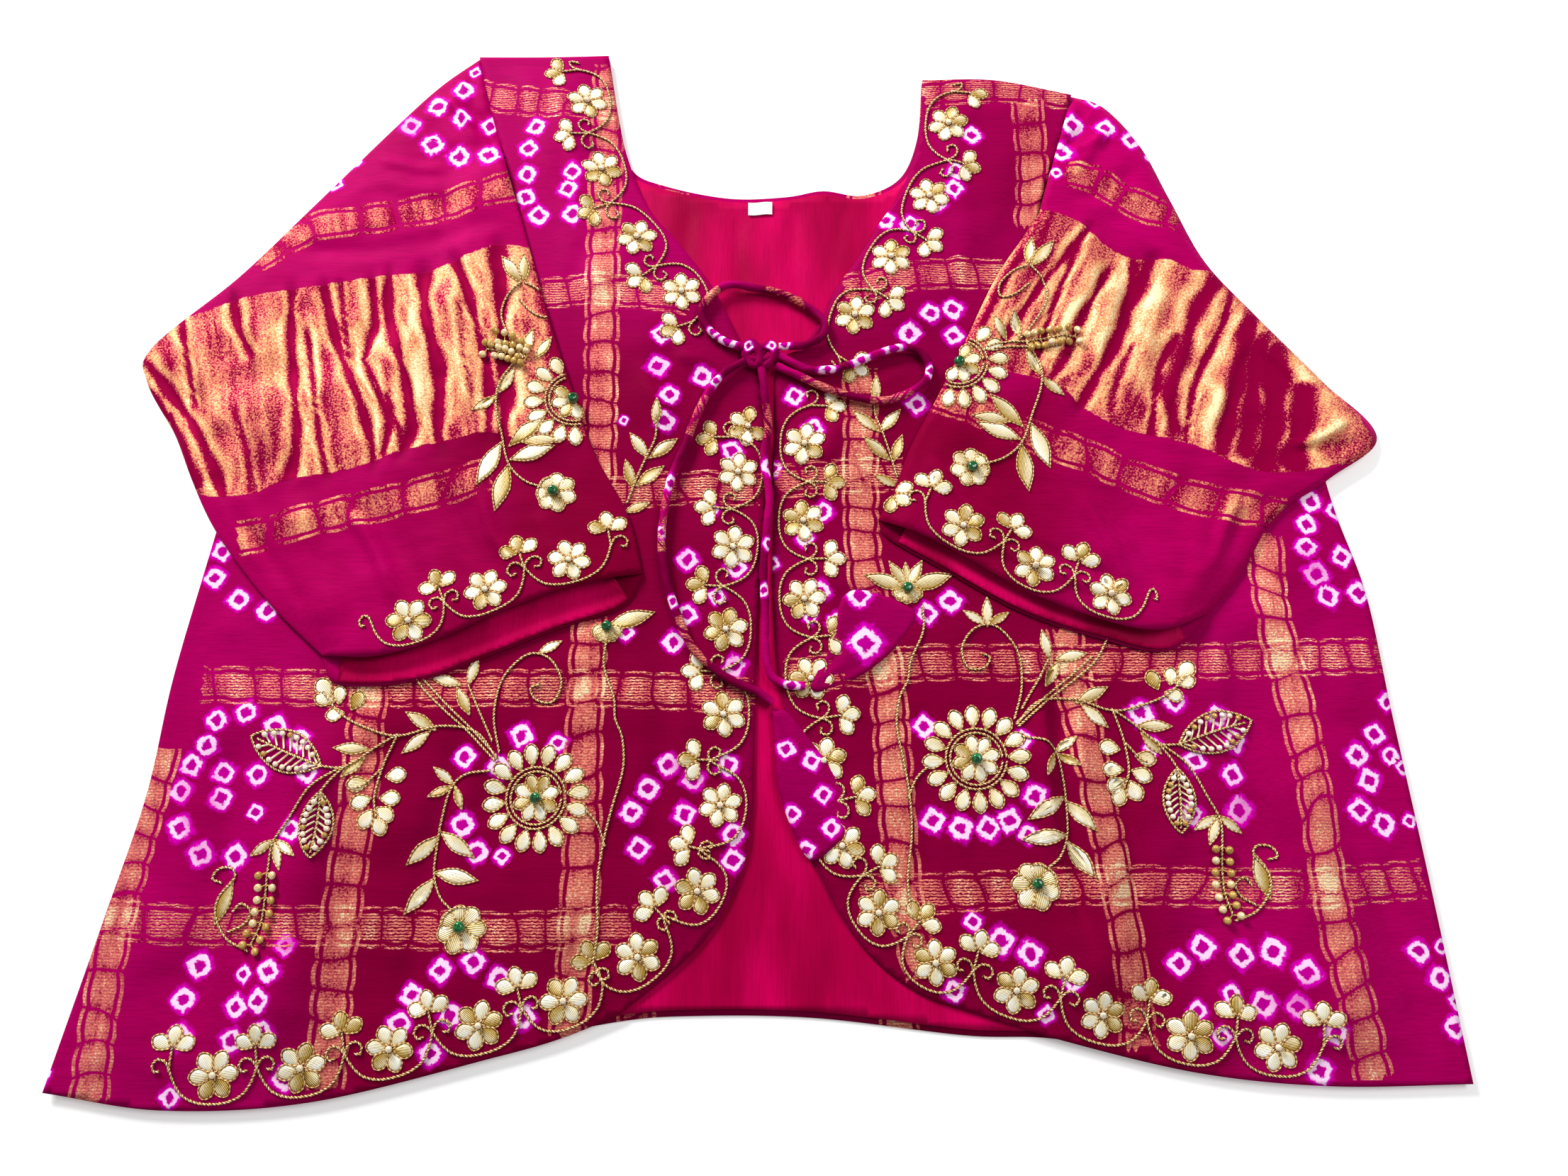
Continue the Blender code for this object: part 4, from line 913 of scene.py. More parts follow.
sleeve_silk = bandhani_silk("sleeve silk", (0.2, 0.0, 0.022), (0.53, 0.0, 0.137), 1.0)
for side, sleeve in SLEEVES.items():
    folds = [curve_through(sleeve[key], EDGE_STEP) for key in ("top_fold", "under_fold")]
    body = np.vstack([curve_through(edge, 10.0)[:-1] for edge in sleeve["body"]])
    mouth = curve_through(sleeve["upper_mouth"], 8.0)

    def base(p, body=body):
        away = np.where(inside_of(body, p), 0.0, edge_distance(body, p))
        return ON_FRONT * (1 - smooth((away - 22.0) / 24.0))

    def pinched(p, sleeve=sleeve, wide=1.0):
        value = np.zeros(len(p))
        for half, depth, *route in sleeve["pinches"]:
            line = np.reshape(route, (-1, 2)).astype(float)
            ends = [line[end] + 9 * (line[end] - line[beside]) / np.linalg.norm(line[end] - line[beside])
                    for end, beside in ((0, 1), (-1, -2))]
            line[0], line[-1] = ends
            value = np.maximum(value, relief(p, [(half * wide, min(depth, 1.0), *line.ravel())], 0.12, 0.45))
        return value

    def ridged(p, sleeve=sleeve, pinched=pinched):
        """Painted highlight: brighter gold on the shoulders of the cloth each side of a pinched fold, and along
        its raised folds.
        """
        raised = [fold for fold in sleeve["folds"] if fold[1] > 0]
        return np.clip(1.6 * (pinched(p, wide=2.3) - pinched(p, wide=1.2)), 0, 1) + 0.5 * relief(p, raised)

    def from_fold(p, folds=folds):
        return np.minimum(*(line_distance(fold, p) for fold in folds))

    def top(p, sleeve=sleeve, mouth=mouth, base=base, pinched=pinched, from_fold=from_fold,
            seed=len(surface_of)):
        near = from_fold(p)
        at_mouth = 1 - smooth(edge_distance(mouth, p) / MOUTH_DEPTH)
        full = SLEEVE_HOLLOW + (MOUTH_HOLLOW - SLEEVE_HOLLOW) * at_mouth
        loose = (2.3 * relief(p, sleeve["folds"]) - 1.8 * pinched(p, wide=1.3) + slack(p, seed, 34, 0.4)
                 + slack(p, seed + 5, 14, 0.15))
        rise = full * smooth((near + 3.0) / 20.0) + smooth((near - 2) / 14) * loose
        return base(p) + WALL + 0.5 + (WALL - 0.5 + np.maximum(rise, -0.45)) * quarter_round(near, FOLD_TURN)

    def lower_under(p, base=base, from_fold=from_fold):
        return base(p) + SLEEVE_FOOT + (WALL - 0.5 - SLEEVE_FOOT) * (1 - quarter_round(from_fold(p), FOLD_TURN))

    rings = np.vstack([fold + np.stack([-way[:, 1], way[:, 0]], 1) * d for fold in folds
                       for way in [unit(np.gradient(fold, axis=0))] for d in (0.7, 1.9)])
    verts, faces = np.empty((0, 3)), []
    for key, pitch, over, under in (
            ("upper_mouth", 2.5, top, lambda p, top=top: top(p) - CLOTH),
            ("lower_mouth", 6.0, lambda p, low=lower_under: low(p) + CLOTH, lower_under)):
        outline = wound_left(np.vstack([curve_through(sleeve["armhole"], EDGE_STEP)[:-1], folds[0][:-1],
                                        curve_through(sleeve[key], EDGE_STEP)[:-1], folds[1][:-1]]))
        inner = rings[inside_of(outline, rings)]
        inner = inner[edge_distance(outline, inner) > 0.5]
        places = np.vstack([inner, lattice(outline, pitch, 3.2)])
        layer_verts, layer_faces = two_faced(outline, places, over, under)
        faces += [tuple(len(verts) + k for k in face) for face in layer_faces]
        verts = np.vstack([verts, layer_verts])
        if over is top:
            surface_of[side] = (outline, top)
    piece = add_piece(side + "_silk", verts, faces, sleeve_silk, "silk")
    gold_area = wound_left(np.vstack([curve_through(sleeve["tissue_top"], 6),
                                      curve_through(sleeve["tissue_foot"], 6)[::-1]]))
    # The pinched folds get painted shade, and the cloth beside them painted highlights
    paint(piece, dots=dots_of(sleeve["dots"]), rows=sleeve["bands"], lean=sleeve["lean"],
          dye=lambda p: np.maximum(0.66 * smooth((p[:, 1] - 20) / 100),
                                   0.16 + 0.38 * smooth((np.abs(p[:, 0]) - 110) / 110)),
          tissue=lambda p, area=gold_area: np.where(inside_of(area, p), edge_distance(area, p) / 10, 0.0),
          pinch=pinched, ridge=ridged)
    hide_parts(side)

# Sleeve linings
# The crimson lining shows in the mouth of each sleeve, where it is turned up and
# felled, and where the lower layer reaches out past the upper one.
CUFF_TOP = 6.6
for side, way, fold in (("right", 1, (5, 0.5, -205, -75, -165, -70, -120, -50)),
                        ("left", -1, (5, 0.7, 205, -62, 160, -52, 110, -24))):
    rim = curve_through(SLEEVES[side + "_sleeve"]["lower_mouth"], 4.0)
    ends = np.minimum(np.linalg.norm(rim - rim[0], axis=1), np.linalg.norm(rim - rim[-1], axis=1))
    rim = rim[ends > 16]
    run = np.gradient(rim, axis=0)
    run = unit(np.stack([np.convolve(np.pad(run[:, k], 8, mode="edge"), np.ones(17) / 17, "valid")
                         for k in (0, 1)], 1))
    inward = np.stack([-run[:, 1], run[:, 0]], 1) * way
    outline = wound_left(np.vstack([rim + inward * 1.5, (rim + inward * 40)[::-1]]))

    def cuff_top(p, rim=rim, fold=fold):
        depth = line_distance(rim, p)
        waves = 0.5 * np.sin(depth / 1.55) * np.clip((depth - 3) / 6, 0, 1) * np.clip((30 - depth) / 12, 0, 1)
        return CUFF_TOP + waves + relief(p, [fold])

    name = side + "_cuff_lining"
    wall = two_faced(outline, lattice(outline, 2.2, 0.9), cuff_top,
                     lambda p, top=cuff_top: top(p) - LINING_WALL)
    piece = add_piece(name + "_satin", *wall, lining_satin, "lining")
    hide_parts(name)
    side + "_sleeve_silk"

# Gota flowers and zardozi sprays
# Petals are cut from pale gold ribbon, padded, couched down and edged with a fine
# cord. Stems are a twisted gold cord, and pearls, gold beads and green stones end them.
PITCH = 44.5
STRAND = 0.39
TWIST = 3.2
STONE_SIZE = 3.1
# Half of a vine's wave: how far along from its flower, and how far in from the edge
VINE = ((0, 3.2), (8, 4.0), (15, 7.2), (19.5, 13), (22.2, 19), (25, 23), (29, 23.6), (31.5, 20.5),
        (30, 17.4), (27, 18.2))


def shape_of(model):
    """The model's points and faces, kept to be copied; the model itself goes."""
    verts = np.array([tuple(v.co) for v in model.data.vertices])
    faces = [tuple(p.vertices) for p in model.data.polygons]
    bpy.data.objects.remove(model)
    return verts, faces


def ribbon_shape(profile):
    """A padded cut of ribbon one long, crowned along its middle, with a cord round it."""
    bpy.ops.object.select_all(action="DESELECT")
    bpy.ops.mesh.primitive_circle_add(vertices=14, radius=1, fill_type="NGON")
    model = bpy.context.object
    bpy.ops.object.mode_set(mode="EDIT")
    bpy.ops.mesh.select_all(action="SELECT")
    for rise, size in ((0.42, 0.94), (0.2, 0.74), (0.06, 0.42)):
        bpy.ops.mesh.extrude_region_move(TRANSFORM_OT_translate={"value": (0, 0, rise)})
        bpy.ops.transform.resize(value=(size, size, 1))
    bpy.ops.mesh.select_all(action="SELECT")
    bpy.ops.mesh.normals_make_consistent(inside=False)
    bpy.ops.object.mode_set(mode="OBJECT")
    verts, faces = shape_of(model)
    u = (verts[:, 0] + 1) / 2
    verts[:, 1] *= profile(u)
    verts[:, 0] = u
    turn = np.arange(16) * math.tau / 16
    u = (np.cos(turn) + 1) / 2
    rim = np.stack([1.1 * u - 0.04, 1.12 * np.sin(turn) * profile(u), np.full(16, 0.4)], 1)
    return verts, faces, rim


petal_shape = ribbon_shape(lambda u: 0.42 * (0.34 + 0.66 * np.sin(np.clip(u, 0, 1) * 2.35) ** 1.2))
leaf_shape = ribbon_shape(lambda u: 0.5 * np.sin(np.clip(u, 0.015, 0.985) * math.pi) ** 0.8)

bpy.ops.object.select_all(action="DESELECT")
bpy.ops.mesh.primitive_uv_sphere_add(segments=10, ring_count=7, radius=1)
bead = bpy.context.object
bpy.ops.object.mode_set(mode="EDIT")
bpy.ops.mesh.select_all(action="DESELECT")
bpy.ops.object.mode_set(mode="OBJECT")
for vert in bead.data.vertices:
    vert.select = abs(vert.co.z) > 0.99
bpy.ops.object.mode_set(mode="EDIT")
bpy.ops.transform.resize(value=(1, 1, 0.62))
bpy.ops.object.mode_set(mode="OBJECT")
bead_shape = shape_of(bead)


def place_from(x, y, angle, u, v=0.0):
    """The place u ahead and v to the left of x, y, when facing at an angle."""
    c, s = math.cos(math.radians(angle)), math.sin(math.radians(angle))
    return x + c * u - s * v, y + s * u + c * v


class Work:
    """Stitched work of one kind on one panel, gathered before it is laid on the cloth."""

    def __init__(self):
        self.verts, self.faces, self.tone, self.grain, self.count = [], [], [], [], 0

    def add(self, verts, faces, tone, grain=None):
        self.verts.append(verts)
        self.faces += [tuple(self.count + k for k in face) for face in faces]
        self.tone.append(np.broadcast_to(tone, len(verts)))
        grain = np.zeros(len(verts)) if grain is None else grain
        self.grain.append(np.column_stack([grain, grain]) if grain.ndim == 1 else grain)
        self.count += len(verts)


class Panel:
    """The ribbon, cord and beads of one panel, kept clear of its edge and of its covers."""

    def __init__(self, outline, covers, seed):
        self.outline, self.covers, self.dice = outline, covers, random.Random(seed)
        self.ribbon, self.cord, self.beads, self.stones = Work(), Work(), Work(), Work()

    def shows(self, places, margin):
        places = np.atleast_2d(np.asarray(places, float))[:, :2]
        seen = inside_of(self.outline, places) & (edge_distance(self.outline, places) > margin)
        for cover in self.covers:
            seen &= ~(inside_of(cover, places) & (edge_distance(cover, places) > 2.5))
        return seen

    def ribbon_cut(self, shape, x, y, length, width, angle, tone=None):
        def placed(points):
            u, v, z = (points * (length, width, 1)).T
            return np.stack([*place_from(x, y, angle, u, v), z], 1)

        if not self.shows([place_from(x, y, angle, length * t) for t in (0.2, 0.6, 1.0)], 0.8).all():
            return
        verts, faces, rim = shape
        # Painted light: each cut gets a bright or a shaded tone, as if tilted to the light
        tone = self.dice.choice((1.0, 1.1, 0.95, 0.45, 1.05, 0.4)) if tone is None else tone
        # Painted shade: one side of the cut and its foot are drawn darker
        shade = 0.8 * verts[:, 1] * self.dice.choice((-1, 1)) - 0.9 * np.clip(0.45 - verts[:, 0], 0, 1)
        self.ribbon.add(placed(verts), faces, tone + shade, verts[:, :2])
        edge = placed(rim)
        wound = np.cumsum(np.linalg.norm(edge - np.roll(edge, 1, 0), axis=1)) / 10
        self.cord.add(*tube(edge, 0.38, 4, closed=True), 0.44, np.repeat(wound, 4))

    def petal(self, x, y, length, angle, tone=None, width=None):
        self.ribbon_cut(petal_shape, x, y, length, width or length * 0.9, angle, tone)

    def leaf(self, x, y, length, angle, tone=None):
        self.ribbon_cut(leaf_shape, x, y, length, length * 0.32, angle, tone)

    def stem(self, route, step=2.0):
        """A twisted pair of gold cords along a route, broken where it is covered."""
        line = curve_through([tuple(p)[:2] for p in route], step)
        even = run_of(line)
        count = max(4, int(even[-1] / 0.6))
        s = np.linspace(0, even[-1], count)
        line = np.stack([np.interp(s, even, line[:, k]) for k in (0, 1)], 1)
        seen = self.shows(line, 0.9)
        for k in np.split(np.arange(count), np.flatnonzero(np.diff(seen)) + 1):
            if seen[k[0]] and len(k) > 4:
                way = unit(np.gradient(line[k], axis=0))
                side = np.stack([-way[:, 1], way[:, 0]], 1)
                for strand in (0, math.pi):
                    phase = s[k] * math.tau / TWIST + strand
                    flat = line[k] + side * (0.4 * np.cos(phase))[:, None]
                    verts, faces = tube(np.column_stack([flat, 0.7 + 0.36 * np.sin(phase)]), STRAND, 4)
                    # Painted shade: each strand is drawn darker where it lies low and brighter on top
                    self.cord.add(verts, faces, -0.85 + 1.25 * verts[:, 2], np.repeat(s[k] / 10, 4))

    def bead(self, x, y, radius, tone, stone=False):
        if self.shows([(x, y)], 0.5).all():
            verts, faces = bead_shape
            work = self.stones if stone else self.beads
            work.add(verts * radius + (x, y, radius * 0.75 + 0.3), faces, tone)

    def flower(self, x, y, size=1.0):
        start = self.dice.uniform(0, 60)
        for angle in (start + k * 60 for k in range(6)):
            self.petal(*place_from(x, y, angle, 2.0), 9.2 * size, angle)
        self.bead(x, y, 1.7, 1.0)

    def sprig(self, x, y, angle):
        for lean in (-62, 0, 62):
            self.petal(*place_from(x, y, angle + lean, 1.8), 9.2, angle + lean)

    def scallops(self, edge, first, items, flower_in, sprig_in, side, with_flower, shift, stretch=0.0):
        """A vine that dips round each flower and curls under each sprig, along an edge."""
        runs = run_of(edge)

        def at(s, d):
            """The place a way in from the edge, and the angle that points inward there."""
            way = np.array([np.diff(np.interp((s - 2, s + 2), runs, edge[:, k]))[0] for k in (0, 1)])
            way /= max(np.linalg.norm(way), 1e-6)
            inward = np.array((-way[1], way[0])) * side
            foot = np.array([np.interp(s, runs, edge[:, k]) for k in (0, 1)])
            return foot + inward * d, math.degrees(math.atan2(inward[1], inward[0]))

        for k in range(items):
            s = first + k * PITCH / 2 + stretch * smooth((k - 6) / 9)
            if s > runs[-1]:
                break
            if (k % 2 == 0) == with_flower:
                self.flower(*at(s, flower_in)[0], self.dice.uniform(0.95, 1.05))
                route = [at(max(0, s - a), d + shift)[0] for a, d in VINE[:0:-1] if s - a > 0]
                route += [at(s + a, d + shift)[0] for a, d in VINE if s + a < runs[-1]]
                self.stem(route, 2.5)
            else:
                (x, y), angle = at(s, sprig_in - 3)
                self.sprig(x, y, angle)
                self.stem([at(s, d)[0] for d in (18 + shift, 22 + shift, sprig_in - 2)], 2.0)

    def rosette(self, x, y, turn):
        for angle in (turn + k * 22.5 for k in range(16)):
            # Painted light: each petal gets a bright or a shaded tone
            tone = self.dice.choice((0.95, 1.0, 0.8))
            self.petal(*place_from(x, y, angle, 16.6), 10.6, angle, tone, width=8.4)
        for radius in (15.6, 13.4):
            t = np.radians(np.linspace(0, 352, 30) + turn)
            self.stem(np.stack([x + radius * np.cos(t), y + radius * np.sin(t)], 1), 3.0)
        for angle in (turn + k * 45 + 10 for k in range(8)):
            self.petal(*place_from(x, y, angle, 2.6), 9.4, angle, width=7.6)
        self.bead(x, y, STONE_SIZE, 0.0, stone=True)

    def fan_flower(self, x, y, size, angle):
        """Seven petals round a stone, with a curved cord where the stem meets them."""
        x, y = place_from(x, y, angle, 0.4 * size)
        # Painted light: the petals alternate between shaded and bright tones
        for lean, reach, tone in ((-150, 0.8, 0.6), (-100, 0.95, 0.8), (-50, 1.1, 0.6), (0, 1.15, 0.95),
                                  (50, 1.1, 0.6), (100, 0.95, 0.9), (150, 0.8, 0.65)):
            self.petal(*place_from(x, y, angle + lean, 0.2 * size), 0.68 * size * reach, angle + lean, tone,
                       width=0.76 * size)
        ahead = math.radians(angle)
        self.stem([(x - size * 0.72 * math.cos(ahead + t), y - size * 0.72 * math.sin(ahead + t))
                   for t in (-0.9, -0.5, 0, 0.5, 0.9)], 3.0)
        self.bead(x, y, STONE_SIZE, 0.0, stone=True)

    def star_flower(self, x, y):
        for angle, reach, tone in ((18, 25, 0.55), (62, 17, 0.6), (92, 14, 0.5), (122, 17, 0.55),
                                   (163, 23, 0.6)):
            self.leaf(x, y, reach, angle, tone)
        for angle in (-30, -62, -95, -128, -155):
            self.petal(x, y, 8.5, angle, 0.45, width=8)
        self.bead(x, y, STONE_SIZE, 0.0, stone=True)

    def bead_leaf(self, x, y, length, angle):
        """An almond of cord filled with short bead rows that end in pearls."""
        def at(u, v):
            return place_from(x, y, angle, u, v)

        def half_width(u):
            return 0.25 * length * np.sin(np.minimum(u, 1) * math.pi) ** 0.8

        t = np.linspace(0, 1, 12)
        self.stem([at(u * length, half_width(u)) for u in t]
                  + [at(u * length, -half_width(u)) for u in t[::-1]], 3.0)
        self.stem([at(0, 0), at(length * 0.5, 0.6), at(length * 0.92, 0)], 3.0)
        for share in (0.06 + 0.098 * k for k in range(8)):
            for way in (-1, 1):
                reach = max(half_width(share + 0.1) - 2.3, 1.2)
                near, far = at(length * share, 0.6 * way), at(length * (share + 0.1), reach * way)
                if self.shows([near, far], 0.8).all():
                    middle = [(a + b) / 2 for a, b in zip(near, far)]
                    line = np.array([(*near, 0.7), (*middle, 0.9), (*far, 0.8)])
                    self.beads.add(*tube(line, 0.55, 5), 0.95)
                    self.bead(*far, 1.5, self.dice.choice((1.05, 1.0, 0.45)))

    def bead_bunch(self, route):
        """Gold beads on short stalks each side of a stem."""
        line = curve_through(route, 5.0)
        self.stem(route)
        for p, w in zip(line, unit(np.gradient(line, axis=0))):
            for hand in (-1, 1):
                out = p + hand * np.array((-w[1], w[0])) * self.dice.uniform(3.4, 4.6) + w * 1.5
                self.bead(*out, 2.1, self.dice.choice((0.5, 0.45, 0.9)))
                if self.shows([p, out], 0.8).all():
                    self.beads.add(*tube(np.array([(*p, 0.8), (*out, 0.8)]), 0.4, 4), 0.7)

    def draw(self, spray, carry=lambda x, y, angle: (x, y, angle)):
        """Set out rows of motifs, carried over to this panel."""
        kinds = {"stem": self.stem, "bunch": self.bead_bunch, "leaf": self.leaf, "petal": self.petal,
                 "fan": self.fan_flower, "bead leaf": self.bead_leaf}
        for kind, *motifs in spray:
            for motif in motifs:
                if kind in ("stem", "bunch"):
                    kinds[kind]([carry(x, y, 0)[:2] for x, y in np.reshape(motif, (-1, 2))])
                else:
                    x, y, size, angle, *tone = motif
                    x, y, angle = carry(x, y, angle)
                    kinds[kind](x, y, size, angle, *tone)


# A stem or bunch of beads is its places; any other motif is its place, length, angle and tone, the painted
# light and shade of its gold
FRONT_SPRAY = (
    ("stem",
     (-135, -128, -150, -113, -165, -100, -178, -87, -186, -70),
     (-134, -126, -149, -111, -163, -98, -176, -85),
     (-133, -124, -137, -105, -134, -85, -122, -72, -110, -74, -103, -86, -107, -97, -116, -96, -119, -90,
      -114, -88)),
    ("leaf", (-117, -72, 15, 88), (-118, -71, 12, 145), (-116, -71, 13, 28)),
    ("stem", (-134, -127, -146, -113, -165, -110, -187, -115, -205, -110, -218, -103, -228, -92)),
    ("petal",
     (-224, -94, 11, 130, 1.0), (-222, -97, 10, 165, 0.9), (-216, -103, 9, 190, 0.95),
     (-212, -101, 10, 65, 0.3), (-219, -98, 9, 95, 0.9)),
    ("leaf",
     (-167, -112, 18, 150, 0.6), (-170, -113, 17, 218, 0.95), (-150, -104, 16, 118, 0.5),
     (-152, -88, 15, 75, 0.95), (-156, -88, 16, 165, 0.9)),
    ("stem",
     (-137, -118, -146, -100, -152, -88), (-187, -115, -193, -130, -196, -146, -194, -157),
     (-194, -132, -202, -140, -207, -142)),
    ("petal",
     (-191, -136, 10, 8, 1.0), (-193, -147, 10, 0, 1.0), (-194, -152, 10, -35, 0.95),
     (-194, -156, 10, -68, 0.9), (-197, -153, 10, -118, 1.0), (-198, -147, 10, 200, 0.95),
     (-200, -139, 10, 188, 0.7)),
    ("stem", (-186, -114, -198, -121, -212, -131, -224, -131)),
    ("bead leaf", (-223, -131, 42, 158)),
    ("stem", (-212, -131, -218, -138, -222, -144)),
    ("bead leaf", (-222, -144, 33, -93)),
    ("leaf", (-201, -122, 17, 178, 0.7), (-203, -126, 14, 225, 0.4)),
    ("stem", (-213, -131, -228, -142, -238, -158, -245, -170, -246, -184)),
    ("leaf", (-245, -168, 13, 215, 0.7), (-244, -169, 14, -72, 0.9), (-243, -168, 13, -35, 0.9)),
    ("bunch", (-246, -184, -246, -196, -247, -208, -251, -219)),
    ("stem",
     (-252, -222, -264, -216, -271, -205, -270, -195, -263, -187, -265, -182, -272, -182, -275, -187,
      -270, -189), (-264, -213, -256, -209, -253, -203, -258, -199, -262, -203)),
    ("leaf", (-271, -209, 22, 72, 0.4)),
    ("stem",
     (-137, -133, -150, -135, -157, -142, -161, -158, -163, -175, -163, -186, -159, -196, -153, -202)),
    ("leaf", (-157, -141, 12, 205, 0.4), (-156, -140, 13, 140, 0.9), (-155, -141, 12, -70, 0.5)),
    ("stem", (-87, -153, -81, -160, -77, -171)),
    ("leaf",
     (-162, -166, 20, 223, 0.8), (-161, -164, 21, -35, 0.9), (-163, -184, 22, -10, 0.95),
     (-163, -187, 21, 232, 0.9)),
    ("fan", (-151, -206, 13.5, -55)),
    ("stem",
     (-80, -63, -81, -78, -75, -95, -74, -106, -70, -116, -69, -132, -74, -152, -78, -170, -80, -190,
      -79, -212, -81, -228)),
)
NECK_SPRAY = (
    ("stem", (-57, 62, -57, 50, -62, 38, -67, 26, -72, 12)),
    ("leaf",
     (-57, 56, 15, 88, 0.6), (-61, 38, 17, 125, 0.8), (-60, 38, 18, 38, 0.6), (-69, 21, 16, 105, 0.4),
     (-67, 22, 18, 38, 0.5), (-73, 7, 14, 22, 0.5)),
)
SLEEVE_SPRAY = (
    ("leaf",
     (-136, 143, 20, 125, 0.6), (-134, 144, 17, 95, 0.5), (-133, 143, 17, 55, 0.9), (-133, 142, 16, 10, 0.8)),
    ("stem",
     (-134, 143, -126, 139, -119, 130, -120, 122, -128, 124, -136, 132),
     (-136, 143, -144, 134, -146, 122, -140, 108, -132, 96)),
    ("leaf", (-132, 98, 16, 75, 0.7), (-125, 96, 15, 60, 0.6)),
    ("stem", (-136, 95, -144, 84, -146, 70, -142, 52, -137, 34, -128, 24, -118, 20)),
    ("leaf",
     (-145, 76, 16, 60, 0.7), (-146, 74, 15, 215, 0.6), (-136, 36, 24, 18, 0.9), (-137, 44, 24, 42, 0.5),
     (-142, 46, 26, 245, 0.95), (-137, 33, 26, 258, 0.5), (-130, 46, 20, 5, 0.6)),
    ("fan", (-116, 19, 12.5, -20)),
)
RIGHT_BUNCH = (
    ("bunch", (-130, 96, -138, 99, -146, 101, -153, 102), (-131, 98, -139, 105, -148, 108)),
)
LEFT_BUNCH = (
    ("stem", (128, 103, 138, 106, 152, 106), (132, 102, 142, 103, 156, 103, 170, 104)),
    ("bunch", (150, 106, 158, 108, 167, 109, 178, 110)),
)


def carried(foot, head, new_foot, new_head):
    """A mirrored copy's places and turns, set by the two points that both halves have."""
    a, b, c, d = (complex(*p) for p in (foot, head, new_foot, new_head))
    turn = (d - c) / (b - a).conjugate()

    def carry(x, y, angle):
        spot = c + turn * (complex(x, y) - a).conjugate()
        return spot.real, spot.imag, math.degrees(math.atan2(turn.imag, turn.real)) - angle

    return carry


def gold_finish(name, dark, middle, bright, rough, scale, depth):
    """Metal thread: its colour runs from shaded to bright with the painted light and shade it is given, ribbed
    as it is wound or woven.
    """
    finish, tree, shader = new_finish(name)
    ribs = stripes(tree, add_node(tree, "UVMap", {}, uv_map="grain"), scale, Distortion=0.6)
    lit = painted(tree, "tone") + (speckle(tree, 1.2) - 0.5) * 0.4 + (ribs - 0.5) * depth
    colour = lit.fade(0.5, 0.95).mix(lit.fade(0.0, 0.5).mix(dark, middle), bright)
    feed(tree, shader, {"Base Color": colour, "Roughness": rough, "Metallic": 0.2,
                        "Normal": ribs.bump(0.5, 0.0003)})
    return finish


gota_ribbon = gold_finish("gota ribbon", (0.2, 0.075, 0.0), (0.8, 0.55, 0.09), (1.0, 0.98, 0.84),
                          0.34, 3.6, 0.8)
gold_cord = gold_finish("twisted gold cord", (0.15, 0.03, 0.008), (0.72, 0.42, 0.12), (1.0, 0.86, 0.56),
                        0.36, 1.3, 0.6)
pearl_and_gold = gold_finish("pearls and gold beads", (0.36, 0.17, 0.02), (0.8, 0.56, 0.17), (1.0, 0.97, 0.9),
                             0.2, 1.0, 0.5)
green_glass, tree, shader = new_finish("green glass stone")
green = speckle(tree, 1.6).fade(0.35, 0.7).mix((0.0, 0.035, 0.008), (0.0, 0.2, 0.045))
feed(tree, shader, {"Base Color": green, "Roughness": 0.08, "Coat Weight": 0.6})


def border(*edges):
    return np.vstack([curve_through(flipped(edge), 4.0)[:-1] for edge in edges])


panels = {}
for side in ("right_front", "left_front"):
    sleeve = SLEEVES[side.replace("front", "sleeve")]
    cover = np.vstack([curve_through(sleeve[key], 6.0)[:-1]
                       for key in ("armhole", "top_fold", "lower_mouth", "under_fold")])
    panels[side] = Panel(surface_of[side][0], [cover], len(side))
right, left = panels["right_front"], panels["left_front"]
right.scallops(curve_through(flipped(R_NECK), 4.0), 7.5, 10, 16.5, 31.0, -1, False, 0.0)
right.scallops(border(R_OPENING, R_CORNER, R_HEM), 38.0, 25, 16.5, 31.0, -1, False, 0.0, 19.0)
right.flower(-6, 57)
right.rosette(-113, -147, 8)
right.star_flower(-80, -57)
right.draw(FRONT_SPRAY + NECK_SPRAY)
left.scallops(curve_through(flipped(L_NECK), 4.0), 7.5, 10, 16.5, 31.0, 1, False, 0.0)
left.scallops(border(L_OPENING, L_CORNER, L_HEM), 19.0, 25, 16.5, 31.0, 1, False, 0.0)
left.rosette(113, -127, 3)
left.star_flower(80, -36)
left.draw(FRONT_SPRAY, carried((-113, -147), (-268, -198), (113, -127), (256, -186)))
left.draw(NECK_SPRAY, carried((-57, 70), (-72, 12), (66, 85), (76, 27)))
for side in ("right_sleeve", "left_sleeve"):
    panels[side] = Panel(surface_of[side][0], [], len(side) + 3)
right, left = panels["right_sleeve"], panels["left_sleeve"]
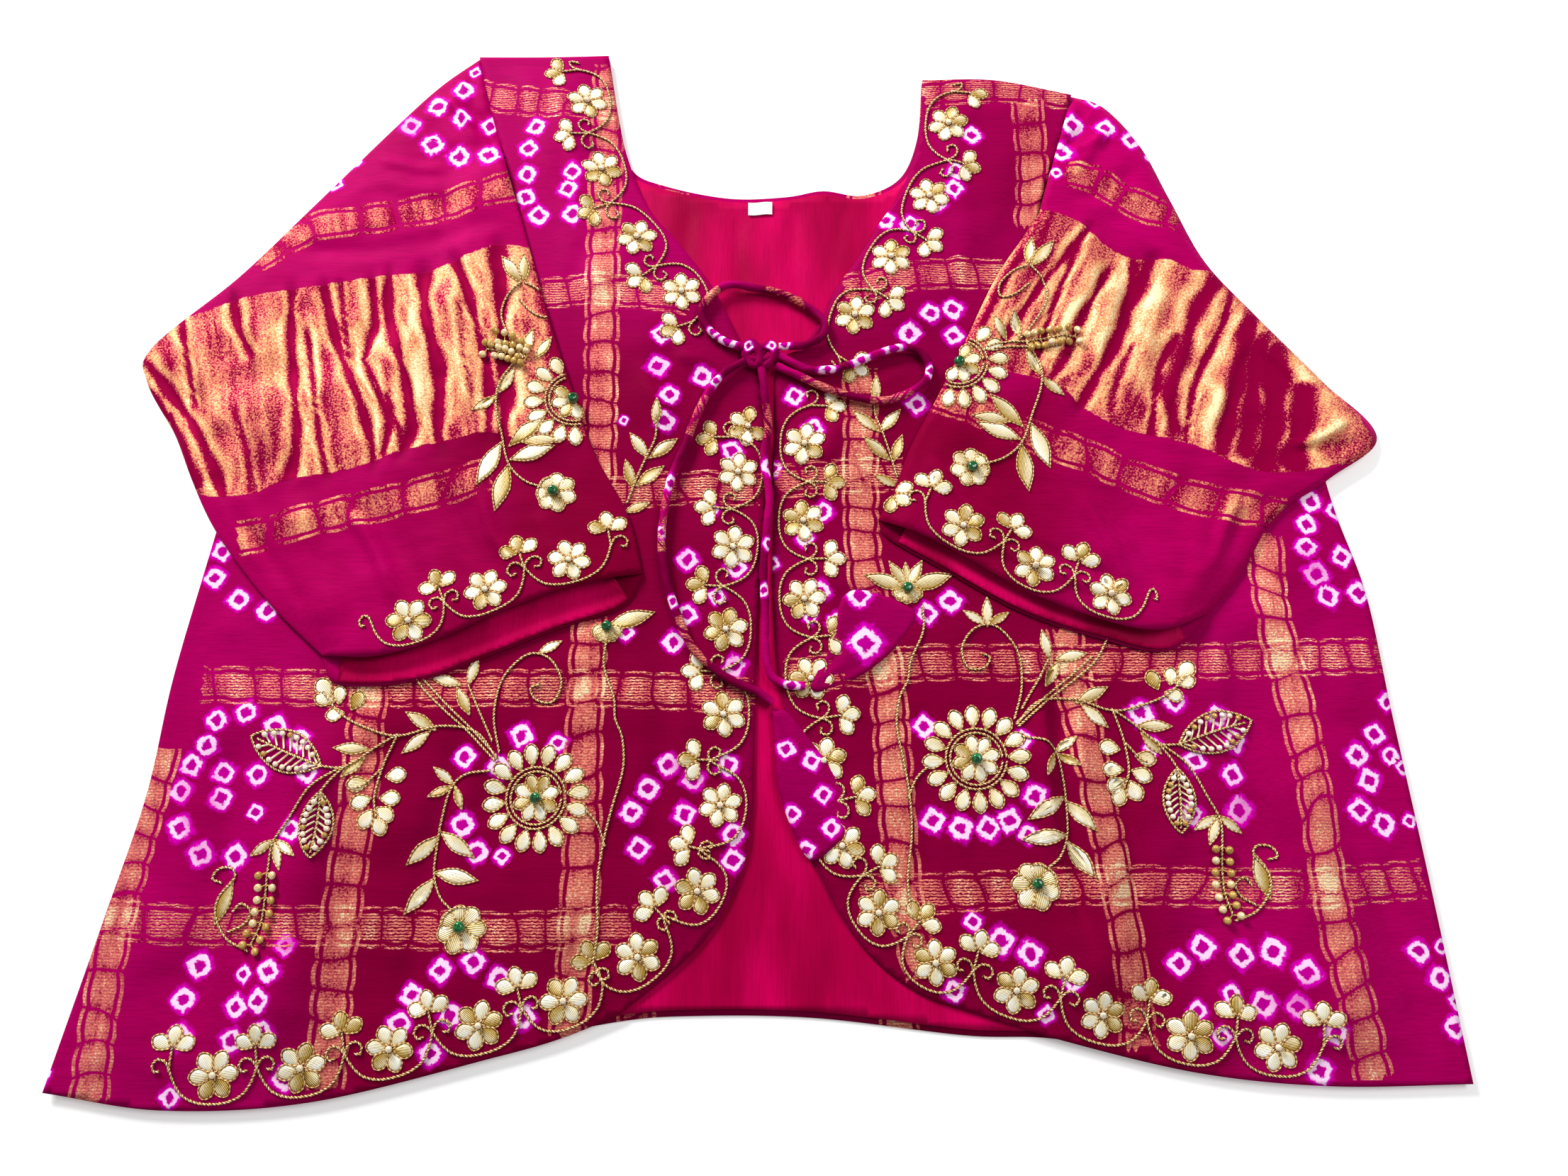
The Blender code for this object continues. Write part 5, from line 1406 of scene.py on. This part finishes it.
right.scallops(curve_through(RIGHT_SLEEVE["upper_mouth"], 4.0), 51.5, 6, 14.5, 29.0, 1, True, -1.5)
right.rosette(-103, 72, 5)
right.draw(SLEEVE_SPRAY + RIGHT_BUNCH)
left.scallops(curve_through(flipped(LEFT_SLEEVE["upper_mouth"]), 4.0), 19.5, 6, 14.5, 29.0, 1, False, -1.5)
left.rosette(112, 94, 5)
left.flower(73, 17)
left.draw(SLEEVE_SPRAY, carried((-116, 19), (-138, 152), (122, 33), (158, 162)))
left.draw(LEFT_BUNCH)

for side, panel in panels.items():
    for part, work, finish, slot in (
            ("gota", panel.ribbon, gota_ribbon, "gota"), ("gold_cord", panel.cord, gold_cord, "gota"),
            ("beads", panel.beads, pearl_and_gold, "beads"), ("stones", panel.stones, green_glass, "beads")):
        verts = np.vstack(work.verts)
        verts[:, 2] += surface_of[side][1](verts[:, :2])
        piece = add_piece(side + "_" + part, verts, work.faces, finish, slot)
        add_values(piece.data, "tone", np.concatenate(work.tone))
        add_map(piece.data, "grain", np.vstack(work.grain)[points_of_corners(piece.data)])

# Floor and light
# A white sheet under the jacket, with wide soft light from the neck's side.
bpy.ops.mesh.primitive_plane_add(size=6, location=(0, 0, 0))
floor = bpy.context.object
floor.name = "white_floor"
paper, tree, shader = new_finish("white floor")
feed(tree, shader, {"Base Color": (1, 1, 1, 1), "Roughness": 0.9, "Specular IOR Level": 0.1,
                    "Emission Color": (1, 1, 1, 1), "Emission Strength": 0.2})
floor.data.materials.append(paper)
world = bpy.data.worlds.new("soft room")
world.use_nodes = True
feed(world.node_tree, world.node_tree.nodes["Background"], {0: (1, 1, 1, 1), 1: 0.28})
bpy.context.scene.world = world
for name, place, size, power in (("window", (-1.2, 1.7, 1.1), 0.7, 74), ("lamp", (1.0, 0.5, 1.5), 0.9, 15)):
    bpy.ops.object.light_add(type="AREA", location=place)
    light = bpy.context.object
    light.name = name
    light.data.size = size
    light.data.energy = power
    light.rotation_euler = (-light.location).to_track_quat("-Z", "Y").to_euler()
bpy.context.scene.view_settings.view_transform = "Standard"
